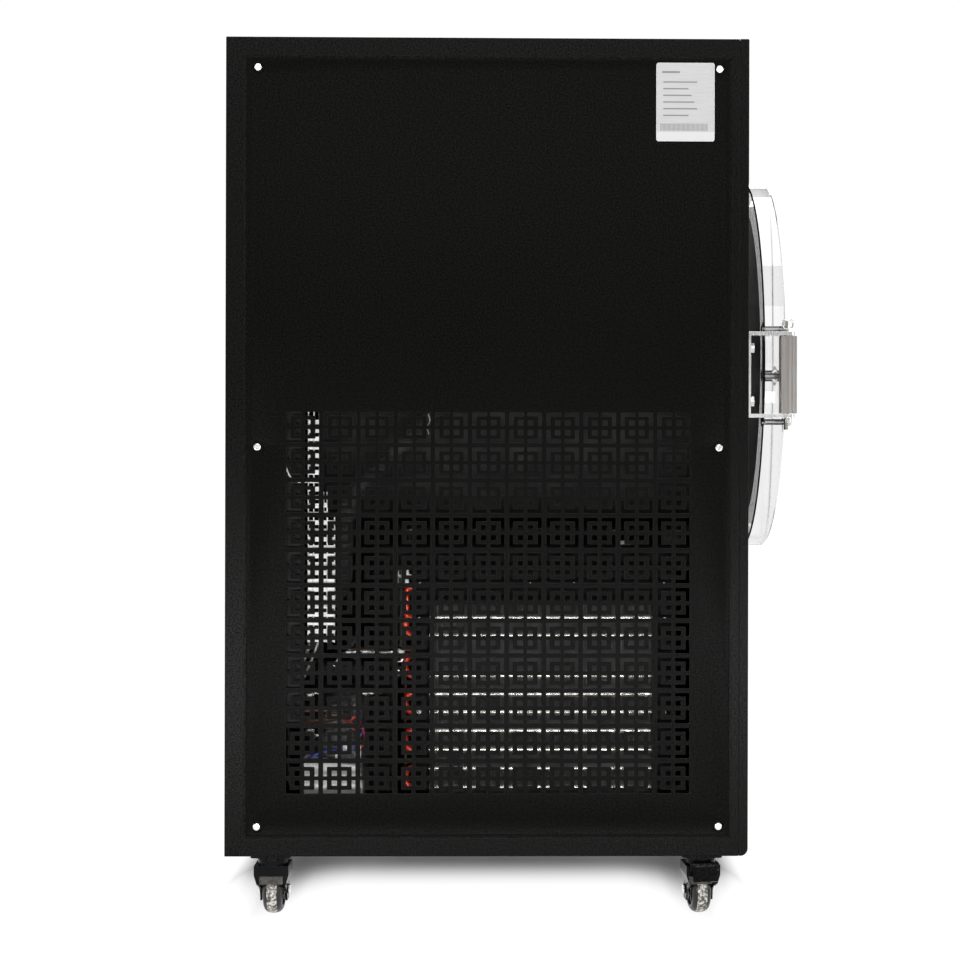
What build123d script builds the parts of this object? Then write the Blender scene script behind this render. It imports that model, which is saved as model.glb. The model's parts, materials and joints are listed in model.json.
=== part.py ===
"""Laboratory freeze dryer: black sheet-steel cabinet on casters, round acrylic door on a side hinge.

Millimetres. +Z is up, the door faces -Y, and its hinge is on the -X side. The origin is on the floor
under the middle of the whole machine.
"""

import os
from math import cos, radians, sin, sqrt

from build123d import *

os.makedirs("parts", exist_ok=True)

# ---------------------------------------------------------------- driving dimensions

# Cabinet body
cabinet_width = 600.0
cabinet_depth = 700.0
cabinet_height = 1095.0
sheet = 1.5  # body and panel steel
body_edge_radius = 1.2
border_front = 22.5  # widths of the border round each side panel
border_rear = 25.5
border_top = 25.0
border_bottom = 24.0
rear_border = 28.0  # width of the border round the rear panel
panel_gap = 2.5  # joint round each removable panel
ledge_inward = 24.0  # how far the panels' ledge reaches into the opening
ledge_outward = 6.0  # how far it overlaps the border
fascia_flange = 12.0  # side flange of the front panel
fascia_bottom_radius = 10.0
fascia_edge_radius = 2.0
fascia_seam = 0.8
lip_depth = 28.0  # inner lip that the fascia is pushed over

# Lattice of the side panels
lattice_count = 11
lattice_pitch_y = 49.6
lattice_pitch_z = 46.9
lattice_cell_y = 43.2
lattice_cell_z = 40.7
lattice_slot = 5.1
lattice_break = 4.8
lattice_core = 19.0
lattice_rise = 57.7  # from the panel's lower edge to the first row's

# Panel screws, M5 pan head
screw_radius = 2.5
screw_hole_radius = 2.7
screw_head_radius = 4.9
screw_head_height = 2.2
screw_length = 8.0
screw_head_round = 1.4
screw_recess_length = 5.0  # cross recess
screw_recess_width = 1.1
screw_recess_depth = 1.0
screw_inset_y = 15.0
screw_inset_z = 13.5

# Data plate
plate_width = 78.0
plate_height = 105.0
plate_thickness = 0.5
plate_front_gap = 22.0  # to the panel's front edge
plate_top_gap = 5.0

# Casters, 2.5 inch
caster_height = 86.0
caster_inset_x = 30.0  # from the cabinet's side to the kingpin
caster_inset_y = 61.0
caster_trail = 14.0
caster_plate_size = 54.0
caster_plate_thickness = 3.0
caster_cup_radius = 22.0
caster_cup_height = 4.6
race_radius = 20.0
swivel_gap = 0.3
kingpin_radius = 5.0
kingpin_bore = 5.05
kingpin_head_radius = 8.0
kingpin_head_height = 2.0
wheel_radius = 32.0
wheel_width = 25.0
wheel_crown = 7.0
wheel_dish_radius = 21.0
wheel_dish_depth = 3.0
hub_radius = 10.0
hub_end_gap = 0.4
axle_radius = 4.0
axle_bore = 4.05
axle_head_radius = 6.5
axle_head_height = 3.0
fork_sheet = 2.5
fork_head_gap = 4.3  # over the wheel
fork_width = 46.4
fork_foot_width = 36.8
fork_shoulder_z = 58.0
fork_waist_z = 42.0
fork_foot_z = 18.0
fork_front = 20.0  # web in front of the kingpin
fork_web_foot_z = 46.0
fork_foot_half = 11.0
front_caster_turn = 7.0  # degrees, as parked
pedal_width = 33.0
pedal_sheet = 2.5
pedal_rod_radius = 2.5
pedal_bore = 2.55
pedal_barrel_radius = 4.4
pedal_rod_out = 25.5  # in front of the kingpin
pedal_rod_z = 72.0
pedal_tip_out = 9.5  # further out than the rod
pedal_tip_drop = 19.0
pedal_side_gap = 0.5
pedal_lug = 2.2
rivet_radius = 3.2  # in the fork's web
rivet_rise = 1.2
rivet_drop = 4.0  # below the fork's shoulder
pedal_lug_half = 4.0

# Vacuum chamber
drum_bore_radius = 215.0
drum_wall = 3.0
drum_depth = 553.0
drum_corner_radius = 30.0
flange_radius = 252.0
flange_thickness = 4.5
fascia_hole_clearance = 4.0
insulation_thickness = 30.0
jacket_collar = 16.0  # inner step at the jacket's front
coil_tube_radius = 4.0
coil_header_radius = 3.0
coil_seat = 0.3
coil_count = 9
port_stub_drop = 20.0  # end of the vacuum port's stub below the jacket
drain_stub_drop = 10.0  # end of the drain port's stub below the jacket
gasket_width = 20.0
gasket_depth = 19.0
gasket_free_gap = 0.3  # to the closed, unpumped door

# Door
door_radius = 271.0
door_thickness = 30.0
door_chamfer = 2.0
countersink_radius = 8.0
countersink_gap = 0.3
door_top_margin = 156.5  # from the top of the cabinet to the rim of the door
hinge_drop = 22.0  # hinge centre below the centre of the door

# Hinge
hinge_rim_gap = 15.0  # pin centre outside the rim
hinge_arm_thickness = 5.0
hinge_arm_width = 24.0
hinge_arm_nose = 8.0
hinge_inner_height = 105.5
hinge_base_width = 36.0
hinge_base_thickness = 3.0
pin_radius = 5.0
pin_bore_radius = 5.05
pin_head_radius = 7.0
pin_head_height = 4.0
pin_ring_radius = 7.0
pin_ring_wire = 1.1
pin_foot_reach = 6.0  # below the lower arm's middle
pin_ring_turn = 35  # degrees
knuckle_round = 2.0
knuckle_size = 22.0
knuckle_end_gap = 0.8
knuckle_groove = 2.0
leaf_thickness = 4.0
leaf_reach = 61.0
leaf_tall_start = 22.0
leaf_tall_half = 74.0
clamp_bolt_spacing = 62.0
clamp_bolt_in = 41.5  # from the pin to the row of bolts
bolt_radius = 4.0
bolt_hole_radius = 4.3
bolt_head_radius = 7.5
bolt_head_height = 5.5
bracket_bolt_rise = 36.0
bracket_bolt_length = 14.0

# Door handle and latch
handle_in = 43.0  # from the rim to the handle
handle_reach = 40.0
handle_grip_radius = 17.0
handle_stem_radius = 9.0
handle_foot_extra = 5.0
handle_foot_length = 4.0
handle_stem_start = 8.0
handle_swell = 2.0
handle_grip_length = 18.0
handle_grip_slope = 4.0
handle_end_length = 3.0
handle_end_step = 4.0
handle_bolt_play = 1.0
latch_post_in = 14.0  # from the cabinet's side
latch_rise = 95.0  # above the centre of the door
latch_post_radius = 9.0
latch_stud_radius = 5.0
latch_stud_bore = 5.06
latch_door_gap = 1.7
latch_lever_thickness = 7.0
latch_lever_length = 62.0
latch_lever_width = 18.0
latch_cap_height = 4.0
latch_flange_radius = 13.0
latch_flange_height = 4.0
latch_stud_play = 0.6
latch_knob_height = 16.0
latch_knob_round = 3.0
latch_knob_step = 0.5
latch_cap_round = 1.5

# Racks and trays
rack_width = 300.0
rack_depth = 430.0
rack_height = 290.0
rack_sheet = 2.0
shelf_count = 4
rack_clearance = 0.3
rack_front_gap = 20.0
runner_width = 8.0
runner_in = 20.0  # from the rack's side
tray_count = 3
tray_width = 284.0
tray_depth = 410.0
tray_height = 20.0
tray_wall = 1.0
tray_corner_radius = 8.0

# Base pan and chamber stand
pan_sheet = 3.0
pan_edge = 18.0
pan_clearance = 2.0
post = 30.0
post_inset = 20.0  # from the cabinet's side
stand_front_inset = 60.0
stand_rear_inset = 212.0
beam_height = 30.0
beam_below_jacket = 5.5
saddle_web = 6.0
saddle_half_angle = 32.0

# Refrigeration set
coil_inset = 30.0  # condenser face behind the side
coil_thickness = 44.0
coil_front_inset = 126.5  # condenser end plate from the front of the cabinet
coil_width = 304.0
coil_height = 305.0
coil_lift = 34.5  # above the base pan
tube_rows = 11
tube_pitch = 25.4
tube_radius = 4.75
tube_hole_radius = 4.95
tube_row_inset = 11.0
inner_rows = 3  # tubes of the inner row, counted from the top
tube_stub = 17.0
tube_slot = 6.5
end_sheet = 1.5
end_margin = 6.0
fan_ring_radius = 125.0
fan_ring_depth = 26.0
fan_ring_wall = 1.5
fan_blade_radius = 118.0
fan_hub_radius = 26.0
fan_hub_length = 22.0
fan_blades = 5
fan_pitch_angle = 28.0
fan_shaft_radius = 4.0
fan_shaft_bore = 4.05
fan_motor_radius = 42.0
fan_motor_length = 70.0
fan_arm_reach = 146.0
fan_arm_width = 14.0
fan_ring_gap = 3.0
fan_motor_gap = 4.0
fan_motor_round = 5.0
fan_shaft_bite = 10.0
fan_arm_sheet = 2.5
fan_arm_in = 6.0  # from the motor's front
fan_arm_foot = 12.0
fan_blade_sheet = 3.2
fan_blade_root = 9.0  # half widths of a blade
fan_blade_belly = 26.0
fan_blade_tip = 22.0
fan_blade_back = 20.0
fan_blade_root_bite = 4.0
fan_blade_belly_at = 0.7
fan_blade_back_at = 0.6
fan_blade_tip_in = 14.0
fan_blade_nose_in = 3.0
fan_blade_heel_in = 10.0
compressor_radius = 90.0
compressor_height = 205.0
compressor_inset_x = 150.0  # its axis from the side
compressor_inset_y = 152.0  # its axis from the rear
shell_dome = 34.0
shell_foot = 16.0
belly_seam_at = 0.55  # of the shell's height
belly_seam_width = 5.0
belly_seam_proud = 2.5
discharge_stub_at = (40.0, -2.0)  # from the compressor's axis
suction_stub_at = (-20.0, 48.0)
stub_height = 14.0
grommet_inset_y = 20.0  # from the ends of the foot
grommet_inset_x = 18.0
foot_corner_radius = 14.0
grommet_height = 12.0
grommet_radius = 13.0
foot_sheet = 3.0
foot_length = 190.0
foot_width = 150.0
cover_width = 84.0
cover_height = 85.0
cover_inset = 34.0
cover_lift = 18.0
cover_seat = 0.3
cover_shift = 11.0  # towards the rear of the compressor's middle
cover_lean = 10.0  # of its front face
cover_foot = 4.0
cover_top_slope = 7.0
pipe_radius = 4.75
small_pipe_radius = 3.2
drier_radius = 11.0
drier_length = 90.0
hose_radius = 12.0
hose_boss_radius = 15.0
hose_offset = 20.0  # of its drop outside the jacket
hose_start_in = 150.0  # boss on the jacket, from the middle
hose_start_back = 40.0
hose_boss_rise = 30.0
hose_boss_bite = 1.0
hose_over_rise = 58.0  # of the hump over the jacket's shoulder
hose_drop = 38.0  # end of the straight drop, below the drum's middle
hose_slant_y = 151.0
hose_slant_rise = 60.0  # above and below the stand's beam
hose_foot_in = 43.0
hose_foot_y = 161.0
hose_foot_rise = 62.0  # above the compressor's suction stub
hose_bend = 40.0
pipe_bend = 14.0
small_pipe_bend = 9.0
liquid_bend = 12.0
outlet_reach = 14.0  # from the condenser's tube ends
riser_gap = 28.0  # behind the jacket
jacket_inlet_in = 90.0
jacket_inlet_drop = 60.0
drier_drop = 24.0  # below the inner row of tubes
drier_gap = 55.0  # from the tube ends
drier_neck = 8.0
drier_cone = 18.0

# Vacuum pump
pump_inset_x = 150.0
pump_port_turn = 2  # turn of the coil behind the vacuum port
pump_motor_radius = 66.0
pump_motor_length = 170.0
pump_head_width = 120.0
pump_head_length = 120.0
pump_head_height = 170.0
pump_axis_rise = 84.0
pump_corner_radius = 12.0
pump_edge_round = 6.0
pump_motor_bite = 6.0
pump_motor_round = 8.0
pump_rib_rise = 0.45  # of the oil case's height
pump_rib_height = 0.6
pump_rib_width = 0.4  # of their pitch
port_radius = 14.0
port_wall = 2.0
bellows_radius = 17.0
bellows_ridge = 3.0
bellows_count = 12

# Electrical
box_depth_x = 100.0
box_width_y = 90.0
box_height = 295.0
box_lift = 195.0
box_corner_radius = 4.0
box_lid_depth = 14.0
box_lid_joint = 1.2
box_joint_depth = 1.0
duct_width_x = 30.0
duct_width_y = 98.0
duct_height = 440.0
duct_lift = 175.0
duct_inset = 8.5
duct_wall = 2.0
finger_pitch = 22.0
finger_slot = 8.0
finger_end = 10.0  # from the duct's corners
screen_width = 190.0
screen_height = 106.0
screen_bezel = 10.0
screen_proud = 6.0
screen_body_depth = 30.0
screen_top_gap = 24.0
screen_corner_radius = 7.0
screen_edge_round = 2.0
screen_glass_drop = 0.8
screen_gap = 0.5
inlet_width = 60.0
inlet_height = 84.0
inlet_proud = 3.0
inlet_depth = 30.0
inlet_from_right = 110.0
inlet_rise = 110.0
rocker_width = 22.0
rocker_height = 28.0
rocker_play = 0.5
rocker_travel = 8.0  # degrees each way of level
rocker_rise = 22.0  # above the module's middle
socket_drop = 16.0
rocker_depth = 12.0
rocker_pin_radius = 1.6
lead_radius = 2.6
lead_rise = 50.0  # of the upper lead above the cover's foot
lead_pitch_z = 16.0
lead_pitch_y = 14.0
lead_first = 20.0  # from the duct's front
lead_shift = 4.0
lead_bend = 12.0

# Drain
drain_radius = 8.0
drain_port_turn = 6  # turn of the coil behind the drain port
valve_radius = 13.0
valve_length = 40.0
valve_rise = 372.0
valve_stem_radius = 4.0
valve_stem_bore = 4.05
valve_cap_radius = 7.0
lever_length = 46.0
lever_thickness = 3.0
lever_width = 12.0
drain_bend = 22.0
valve_shoulder = 5.0
valve_nut = 4.0
valve_nut_extra = 3.0
valve_outlet = 8.0
lever_gap = 0.3

# ---------------------------------------------------------------- derived places

half_width = cabinet_width / 2
door_back_reach = flange_thickness + gasket_depth + gasket_free_gap
door_front_reach = door_back_reach + door_thickness
front_reach = door_front_reach + handle_reach
whole_depth = front_reach + cabinet_depth + valve_length
front_y = front_reach - whole_depth / 2
rear_y = front_y + cabinet_depth
mid_y = (front_y + rear_y) / 2
base_z = caster_height
top_z = base_z + cabinet_height

opening_y0 = front_y + border_front
opening_y1 = rear_y - border_rear
opening_z0 = base_z + border_bottom
opening_z1 = top_z - border_top
opening_mid_y = (opening_y0 + opening_y1) / 2
opening_mid_z = (opening_z0 + opening_z1) / 2
panel_width = opening_y1 - opening_y0 - 2 * panel_gap
panel_height = opening_z1 - opening_z0 - 2 * panel_gap
rear_panel_width = cabinet_width - 2 * rear_border - 2 * panel_gap
rear_panel_height = cabinet_height - 2 * rear_border - 2 * panel_gap
rear_panel_z = base_z + cabinet_height / 2

drum_z = top_z - door_top_margin - door_radius
drum_radius = drum_bore_radius + drum_wall
jacket_radius = drum_radius + insulation_thickness
jacket_front = front_y + sheet + lip_depth
drum_rear = front_y + drum_depth
jacket_rear = drum_rear + insulation_thickness
door_back_y = front_y - door_back_reach
door_front_y = front_y - door_front_reach
hinge_x = -(door_radius + hinge_rim_gap)
hinge_y = door_front_y - 0.5
hinge_z = drum_z - hinge_drop
pan_top = base_z + sheet + pan_sheet

drum_plane = Plane(origin=(0, 0, drum_z), x_dir=(0, 1, 0), z_dir=(1, 0, 0))
drum_axis = Axis((0, 0, drum_z), (0, 1, 0))


def side_plane(x):
    """A plane across X whose own x runs along +Y and whose own y runs up."""
    return Plane(origin=(x, 0, 0), x_dir=(0, 1, 0), z_dir=(1, 0, 0))


def facing_front(y):
    """A plane across Y that looks forward, with its own x along +X and its own y up."""
    return Plane(origin=(0, y, 0), x_dir=(1, 0, 0), z_dir=(0, -1, 0))


def save(piece, name):
    piece.label = name
    export_step(piece, f"parts/{name}.step")


def route_plane(route):
    """The plane across the start of a pipe's route."""
    return Plane(origin=route @ 0, z_dir=route % 0)


side_screws = [
    (
        opening_mid_y + across * (panel_width / 2 - screw_inset_y),
        opening_mid_z + up * (panel_height / 2 - screw_inset_z),
    )
    for across in (-1, 1)
    for up in (-1, 0, 1)
]
rear_screws = [
    (
        across * (rear_panel_width / 2 - screw_inset_z),
        rear_panel_z + up * (rear_panel_height / 2 - screw_inset_z),
    )
    for across in (-1, 1)
    for up in (-1, 0, 1)
]

# ---------------------------------------------------------------- cabinet

skin_front = front_y + fascia_flange + fascia_seam
skin_depth = rear_y - skin_front
inner_half = half_width - sheet
lip_front = front_y + sheet
lip_rear = lip_front + lip_depth

with BuildPart() as cabinet_frame:
    with BuildSketch(Plane.XY.offset(base_z)):
        with Locations((0, skin_front + skin_depth / 2)):
            Rectangle(cabinet_width, skin_depth)
    extrude(amount=cabinet_height)
    rear_face = cabinet_frame.faces().sort_by(Axis.Y)[-1]
    long_edges = cabinet_frame.edges().filter_by(Axis.Y)
    fillet(long_edges + rear_face.edges(), radius=body_edge_radius)
    with BuildSketch(Plane.XY.offset(base_z + sheet)):
        with Locations((0, skin_front + (skin_depth - sheet) / 2)):
            Rectangle(cabinet_width - 2 * sheet, skin_depth - sheet)
    extrude(amount=cabinet_height - 2 * sheet, mode=Mode.SUBTRACT)
    # side openings
    with BuildSketch(side_plane(-half_width)):
        with Locations((opening_mid_y, opening_mid_z)):
            Rectangle(opening_y1 - opening_y0, opening_z1 - opening_z0)
    extrude(amount=cabinet_width, mode=Mode.SUBTRACT)
    # rear opening
    with BuildSketch(facing_front(rear_y)):
        with Locations((0, rear_panel_z)):
            Rectangle(
                cabinet_width - 2 * rear_border, cabinet_height - 2 * rear_border
            )
    extrude(amount=2 * sheet, mode=Mode.SUBTRACT)
    # ledges that the side panels lie on
    for side in (-1, 1):
        with BuildSketch(side_plane(side * (half_width - sheet))):
            with Locations((opening_mid_y, opening_mid_z)):
                Rectangle(
                    opening_y1 - opening_y0 + 2 * ledge_outward,
                    opening_z1 - opening_z0 + 2 * ledge_outward,
                )
                Rectangle(
                    opening_y1 - opening_y0 - 2 * ledge_inward,
                    opening_z1 - opening_z0 - 2 * ledge_inward,
                    mode=Mode.SUBTRACT,
                )
            with Locations(*side_screws):
                Circle(screw_hole_radius, mode=Mode.SUBTRACT)
        extrude(amount=-side * sheet)
    # ledge of the rear panel
    with BuildSketch(facing_front(rear_y - sheet)):
        with Locations((0, rear_panel_z)):
            Rectangle(
                cabinet_width - 2 * rear_border + 2 * ledge_outward,
                cabinet_height - 2 * rear_border + 2 * ledge_outward,
            )
            Rectangle(
                cabinet_width - 2 * rear_border - 2 * ledge_inward,
                cabinet_height - 2 * rear_border - 2 * ledge_inward,
                mode=Mode.SUBTRACT,
            )
        with Locations(*rear_screws):
            Circle(screw_hole_radius, mode=Mode.SUBTRACT)
    extrude(amount=sheet)
    # front lip inside the fascia's flanges
    with BuildSketch(facing_front(lip_rear)):
        with Locations((0, rear_panel_z)):
            Rectangle(2 * inner_half, cabinet_height - 2 * sheet)
    extrude(amount=lip_depth)
    with BuildSketch(facing_front(lip_rear)):
        with Locations((0, rear_panel_z)):
            Rectangle(2 * (inner_half - sheet), cabinet_height - 4 * sheet)
    extrude(amount=lip_depth, mode=Mode.SUBTRACT)
    # the lip stops short of the fascia's rounded bottom fold
    with Locations((0, lip_front, base_z + sheet)):
        Box(
            2 * inner_half,
            2 * (fascia_bottom_radius - sheet),
            2 * (fascia_bottom_radius - sheet),
            mode=Mode.SUBTRACT,
        )
save(cabinet_frame.part, "cabinet_frame")

with BuildPart() as front_fascia:
    with BuildSketch(facing_front(front_y + fascia_flange)):
        with Locations((0, rear_panel_z)):
            Rectangle(cabinet_width, cabinet_height)
    extrude(amount=fascia_flange)
    front_face = front_fascia.faces().sort_by(Axis.Y)[0]
    bottom_edge = front_face.edges().sort_by(Axis.Z)[0:1]
    fillet(bottom_edge, radius=fascia_bottom_radius)
    front_face = front_fascia.faces().sort_by(Axis.Y)[0]
    fillet(front_face.edges().sort_by(Axis.Z)[1:], radius=fascia_edge_radius)
    with BuildSketch(facing_front(front_y + fascia_flange)):
        with Locations((0, rear_panel_z)):
            Rectangle(2 * inner_half, cabinet_height - 2 * sheet)
    hollow = extrude(amount=fascia_flange - sheet, mode=Mode.PRIVATE)
    hollow_edge = (
        hollow.faces().sort_by(Axis.Y)[0].edges().sort_by(Axis.Z)[0]
    )
    add(
        hollow.fillet(fascia_bottom_radius - sheet, [hollow_edge]),
        mode=Mode.SUBTRACT,
    )
    with BuildSketch(facing_front(front_y + sheet)):
        with Locations((0, drum_z)):
            Circle(drum_radius + fascia_hole_clearance)
        with Locations((0, top_z - screen_top_gap - screen_height / 2)):
            Rectangle(
                screen_width - 2 * screen_bezel, screen_height - 2 * screen_bezel
            )
        with Locations(
            (hinge_x, hinge_z - bracket_bolt_rise),
            (hinge_x, hinge_z + bracket_bolt_rise),
        ):
            Circle(bolt_hole_radius)
    extrude(amount=sheet, mode=Mode.SUBTRACT)
save(front_fascia.part, "front_fascia")


def lattice_slots(hand):
    """One bracket-shaped slot of a lattice cell, open towards the cell's middle."""
    outer_y = lattice_cell_y / 2
    outer_z = lattice_cell_z / 2
    inner_y = outer_y - lattice_slot
    inner_z = outer_z - lattice_slot
    tip = lattice_break / 2
    corners = [
        (tip, -outer_z),
        (outer_y, -outer_z),
        (outer_y, outer_z),
        (tip, outer_z),
        (tip, inner_z),
        (inner_y, inner_z),
        (inner_y, -inner_z),
        (tip, -inner_z),
    ]
    return [(hand * y, z) for y, z in corners]


lattice_z = (
    opening_z0
    + panel_gap
    + lattice_rise
    + ((lattice_count - 1) * lattice_pitch_z + lattice_cell_z) / 2
)
with BuildPart() as side_panel_left:
    with BuildSketch(side_plane(-half_width)):
        with Locations((opening_mid_y, opening_mid_z)):
            Rectangle(panel_width, panel_height)
        with Locations(*side_screws):
            Circle(screw_hole_radius, mode=Mode.SUBTRACT)
        with Locations((opening_mid_y, lattice_z)):
            with GridLocations(
                lattice_pitch_y, lattice_pitch_z, lattice_count, lattice_count
            ):
                Polygon(*lattice_slots(1), align=None, mode=Mode.SUBTRACT)
                Polygon(*lattice_slots(-1), align=None, mode=Mode.SUBTRACT)
                Rectangle(lattice_core, lattice_core, mode=Mode.SUBTRACT)
    extrude(amount=sheet)
save(side_panel_left.part, "side_panel_left")

with BuildPart() as side_panel_right:
    mirror(side_panel_left.part, about=Plane.YZ)
save(side_panel_right.part, "side_panel_right")

inlet_x = half_width - inlet_from_right
inlet_z = base_z + inlet_rise
inlet_flange = 4.0  # of the inlet module round its cut-out
valve_z = base_z + valve_rise
vent_count = 9
vent_pitch = 22.0
vent_length = 110.0
vent_height = 6.0
vent_columns = 3
vent_column_pitch = 150.0
vent_drop = 250.0  # middle of the vents below the top

with BuildPart() as rear_panel:
    with BuildSketch(facing_front(rear_y)):
        with Locations((0, rear_panel_z)):
            Rectangle(rear_panel_width, rear_panel_height)
        with Locations(*rear_screws):
            Circle(screw_hole_radius, mode=Mode.SUBTRACT)
        with Locations((0, top_z - vent_drop)):
            with GridLocations(
                vent_column_pitch, vent_pitch, vent_columns, vent_count
            ):
                SlotOverall(vent_length, vent_height, mode=Mode.SUBTRACT)
        with Locations((inlet_x, inlet_z)):
            Rectangle(
                inlet_width - 2 * inlet_flange,
                inlet_height - 2 * inlet_flange,
                mode=Mode.SUBTRACT,
            )
        with Locations((0, valve_z)):
            Circle(drain_radius + screw_hole_radius / 2, mode=Mode.SUBTRACT)
    extrude(amount=sheet)
save(rear_panel.part, "rear_panel")


def pan_screw(plane):
    """A pan-head screw seated on a plane, its shank going down behind it."""
    with BuildPart(plane, mode=Mode.PRIVATE) as screw:
        Cylinder(
            screw_head_radius,
            screw_head_height,
            align=(Align.CENTER, Align.CENTER, Align.MIN),
        )
        fillet(
            screw.edges().sort_by(Axis(plane.origin, plane.z_dir))[-1:],
            radius=screw_head_round,
        )
        Cylinder(
            screw_radius, screw_length, align=(Align.CENTER, Align.CENTER, Align.MAX)
        )
        with Locations((0, 0, screw_head_height)):
            Box(
                screw_recess_length,
                screw_recess_width,
                2 * screw_recess_depth,
                mode=Mode.SUBTRACT,
            )
            Box(
                screw_recess_width,
                screw_recess_length,
                2 * screw_recess_depth,
                mode=Mode.SUBTRACT,
            )
    return screw.part


screws = [
    pan_screw(Plane(origin=(side * half_width, y, z), z_dir=(side, 0, 0)))
    for side in (-1, 1)
    for y, z in side_screws
]
screws += [
    pan_screw(Plane(origin=(x, rear_y, z), z_dir=(0, 1, 0))) for x, z in rear_screws
]
save(Compound(children=screws), "panel_screws")

with BuildPart() as data_plate:
    plate_y = opening_y0 + panel_gap + plate_front_gap + plate_width / 2
    plate_z = opening_z1 - panel_gap - plate_top_gap - plate_height / 2
    with BuildSketch(side_plane(-half_width)):
        with Locations((plate_y, plate_z)):
            RectangleRounded(plate_width, plate_height, 3.0)
    extrude(amount=-plate_thickness)
save(data_plate.part, "data_plate")

# ---------------------------------------------------------------- base pan and chamber stand

post_x = half_width - post_inset - post / 2
stand_y = [front_y + stand_front_inset, rear_y - stand_rear_inset]
jacket_seat = jacket_radius + coil_seat
beam_top = drum_z - jacket_radius - beam_below_jacket
saddle_top = drum_z - jacket_seat * cos(radians(saddle_half_angle))
saddle_half = jacket_seat * sin(radians(saddle_half_angle))
pan_half_x = inner_half - pan_clearance
pan_y0 = lip_rear + pan_clearance
pan_y1 = rear_y - 2 * sheet - pan_clearance

with BuildPart() as base_frame:
    with BuildSketch(Plane.XY.offset(base_z + sheet)):
        with Locations((0, (pan_y0 + pan_y1) / 2)):
            Rectangle(2 * pan_half_x, pan_y1 - pan_y0)
    extrude(amount=pan_edge)
    with BuildSketch(Plane.XY.offset(pan_top)):
        with Locations((0, (pan_y0 + pan_y1) / 2)):
            Rectangle(2 * (pan_half_x - pan_sheet), pan_y1 - pan_y0 - 2 * pan_sheet)
    extrude(amount=pan_edge, mode=Mode.SUBTRACT)
    for y in stand_y:
        with BuildSketch(Plane.XY.offset(pan_top)):
            with Locations((-post_x, y), (post_x, y)):
                Rectangle(post, post)
        extrude(amount=beam_top - pan_top)
        with BuildSketch(Plane.XY.offset(beam_top - beam_height)):
            with Locations((0, y)):
                Rectangle(2 * post_x, post)
        extrude(amount=beam_height)
        # saddle web under the chamber's jacket
        with BuildSketch(facing_front(y + saddle_web / 2)):
            with Locations((0, (beam_top + saddle_top) / 2)):
                Rectangle(2 * saddle_half, saddle_top - beam_top)
            with Locations((0, drum_z)):
                Circle(jacket_seat, mode=Mode.SUBTRACT)
        extrude(amount=saddle_web)
    for side in (-1, 1):
        with BuildSketch(Plane.XY.offset(beam_top - beam_height)):
            with Locations((side * post_x, (stand_y[0] + stand_y[1]) / 2)):
                Rectangle(post, stand_y[1] - stand_y[0])
        extrude(amount=beam_height)
save(base_frame.part, "base_frame")

# ---------------------------------------------------------------- vacuum chamber

# the ports pass between turns of the cooling coil
coil_start = jacket_front + jacket_collar + 3 * coil_tube_radius
coil_step = (drum_rear - drum_corner_radius - coil_start) / (coil_count - 1)
pump_x = half_width - pump_inset_x
pump_port_y = coil_start + (pump_port_turn - 0.5) * coil_step
port_drop = drum_z - sqrt(jacket_radius**2 - pump_x**2) - port_stub_drop
drain_y = coil_start + (drain_port_turn - 0.5) * coil_step
drain_drop = drum_z - jacket_radius - drain_stub_drop
ports = [
    (pump_x, pump_port_y, port_drop, port_radius),
    (0, drain_y, drain_drop, drain_radius),
]

corner_y = drum_rear - drum_corner_radius
corner_r = drum_radius - drum_corner_radius


def corner_arc(radius):
    """The rounded corner between the drum's wall and its rear end."""
    ThreePointArc(
        (corner_y, corner_r + radius),
        (corner_y + radius * cos(radians(45)), corner_r + radius * sin(radians(45))),
        (corner_y + radius, corner_r),
    )


with BuildPart() as chamber_drum:
    with BuildSketch(facing_front(corner_y)):
        with Locations((0, drum_z)):
            Circle(drum_radius)
            Circle(drum_bore_radius, mode=Mode.SUBTRACT)
    extrude(amount=corner_y - front_y)
    for x, y, z, radius in ports:
        with BuildSketch(Plane.XY.offset(z)):
            with Locations((x, y)):
                Circle(radius - port_wall)
        extrude(amount=drum_z - z, mode=Mode.SUBTRACT)
save(chamber_drum.part, "chamber_drum")

with BuildPart() as chamber_flange:
    with BuildSketch(facing_front(front_y)):
        with Locations((0, drum_z)):
            Circle(flange_radius)
            Circle(drum_bore_radius, mode=Mode.SUBTRACT)
    extrude(amount=flange_thickness)
save(chamber_flange.part, "chamber_flange")

with BuildPart() as chamber_head:
    with BuildSketch(drum_plane):
        with BuildLine():
            Line((corner_y, drum_bore_radius), (corner_y, drum_radius))
            corner_arc(drum_corner_radius)
            Polyline(
                (drum_rear, corner_r),
                (drum_rear, 0),
                (drum_rear - drum_wall, 0),
                (drum_rear - drum_wall, corner_r),
            )
            corner_arc(drum_corner_radius - drum_wall)
        make_face()
    revolve(axis=drum_axis)
save(chamber_head.part, "chamber_head")

port_stubs = []
for x, y, z, radius in ports:
    with BuildPart() as port_stub:
        with BuildSketch(Plane.XY.offset(z)):
            with Locations((x, y)):
                Circle(radius)
                Circle(radius - port_wall, mode=Mode.SUBTRACT)
        extrude(amount=drum_z - z)
        with BuildSketch(facing_front(corner_y)):
            with Locations((0, drum_z)):
                Circle(drum_radius)
        extrude(amount=corner_y - front_y, mode=Mode.SUBTRACT)
    port_stubs.append(port_stub.part)
save(Compound(children=port_stubs), "chamber_ports")

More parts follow.
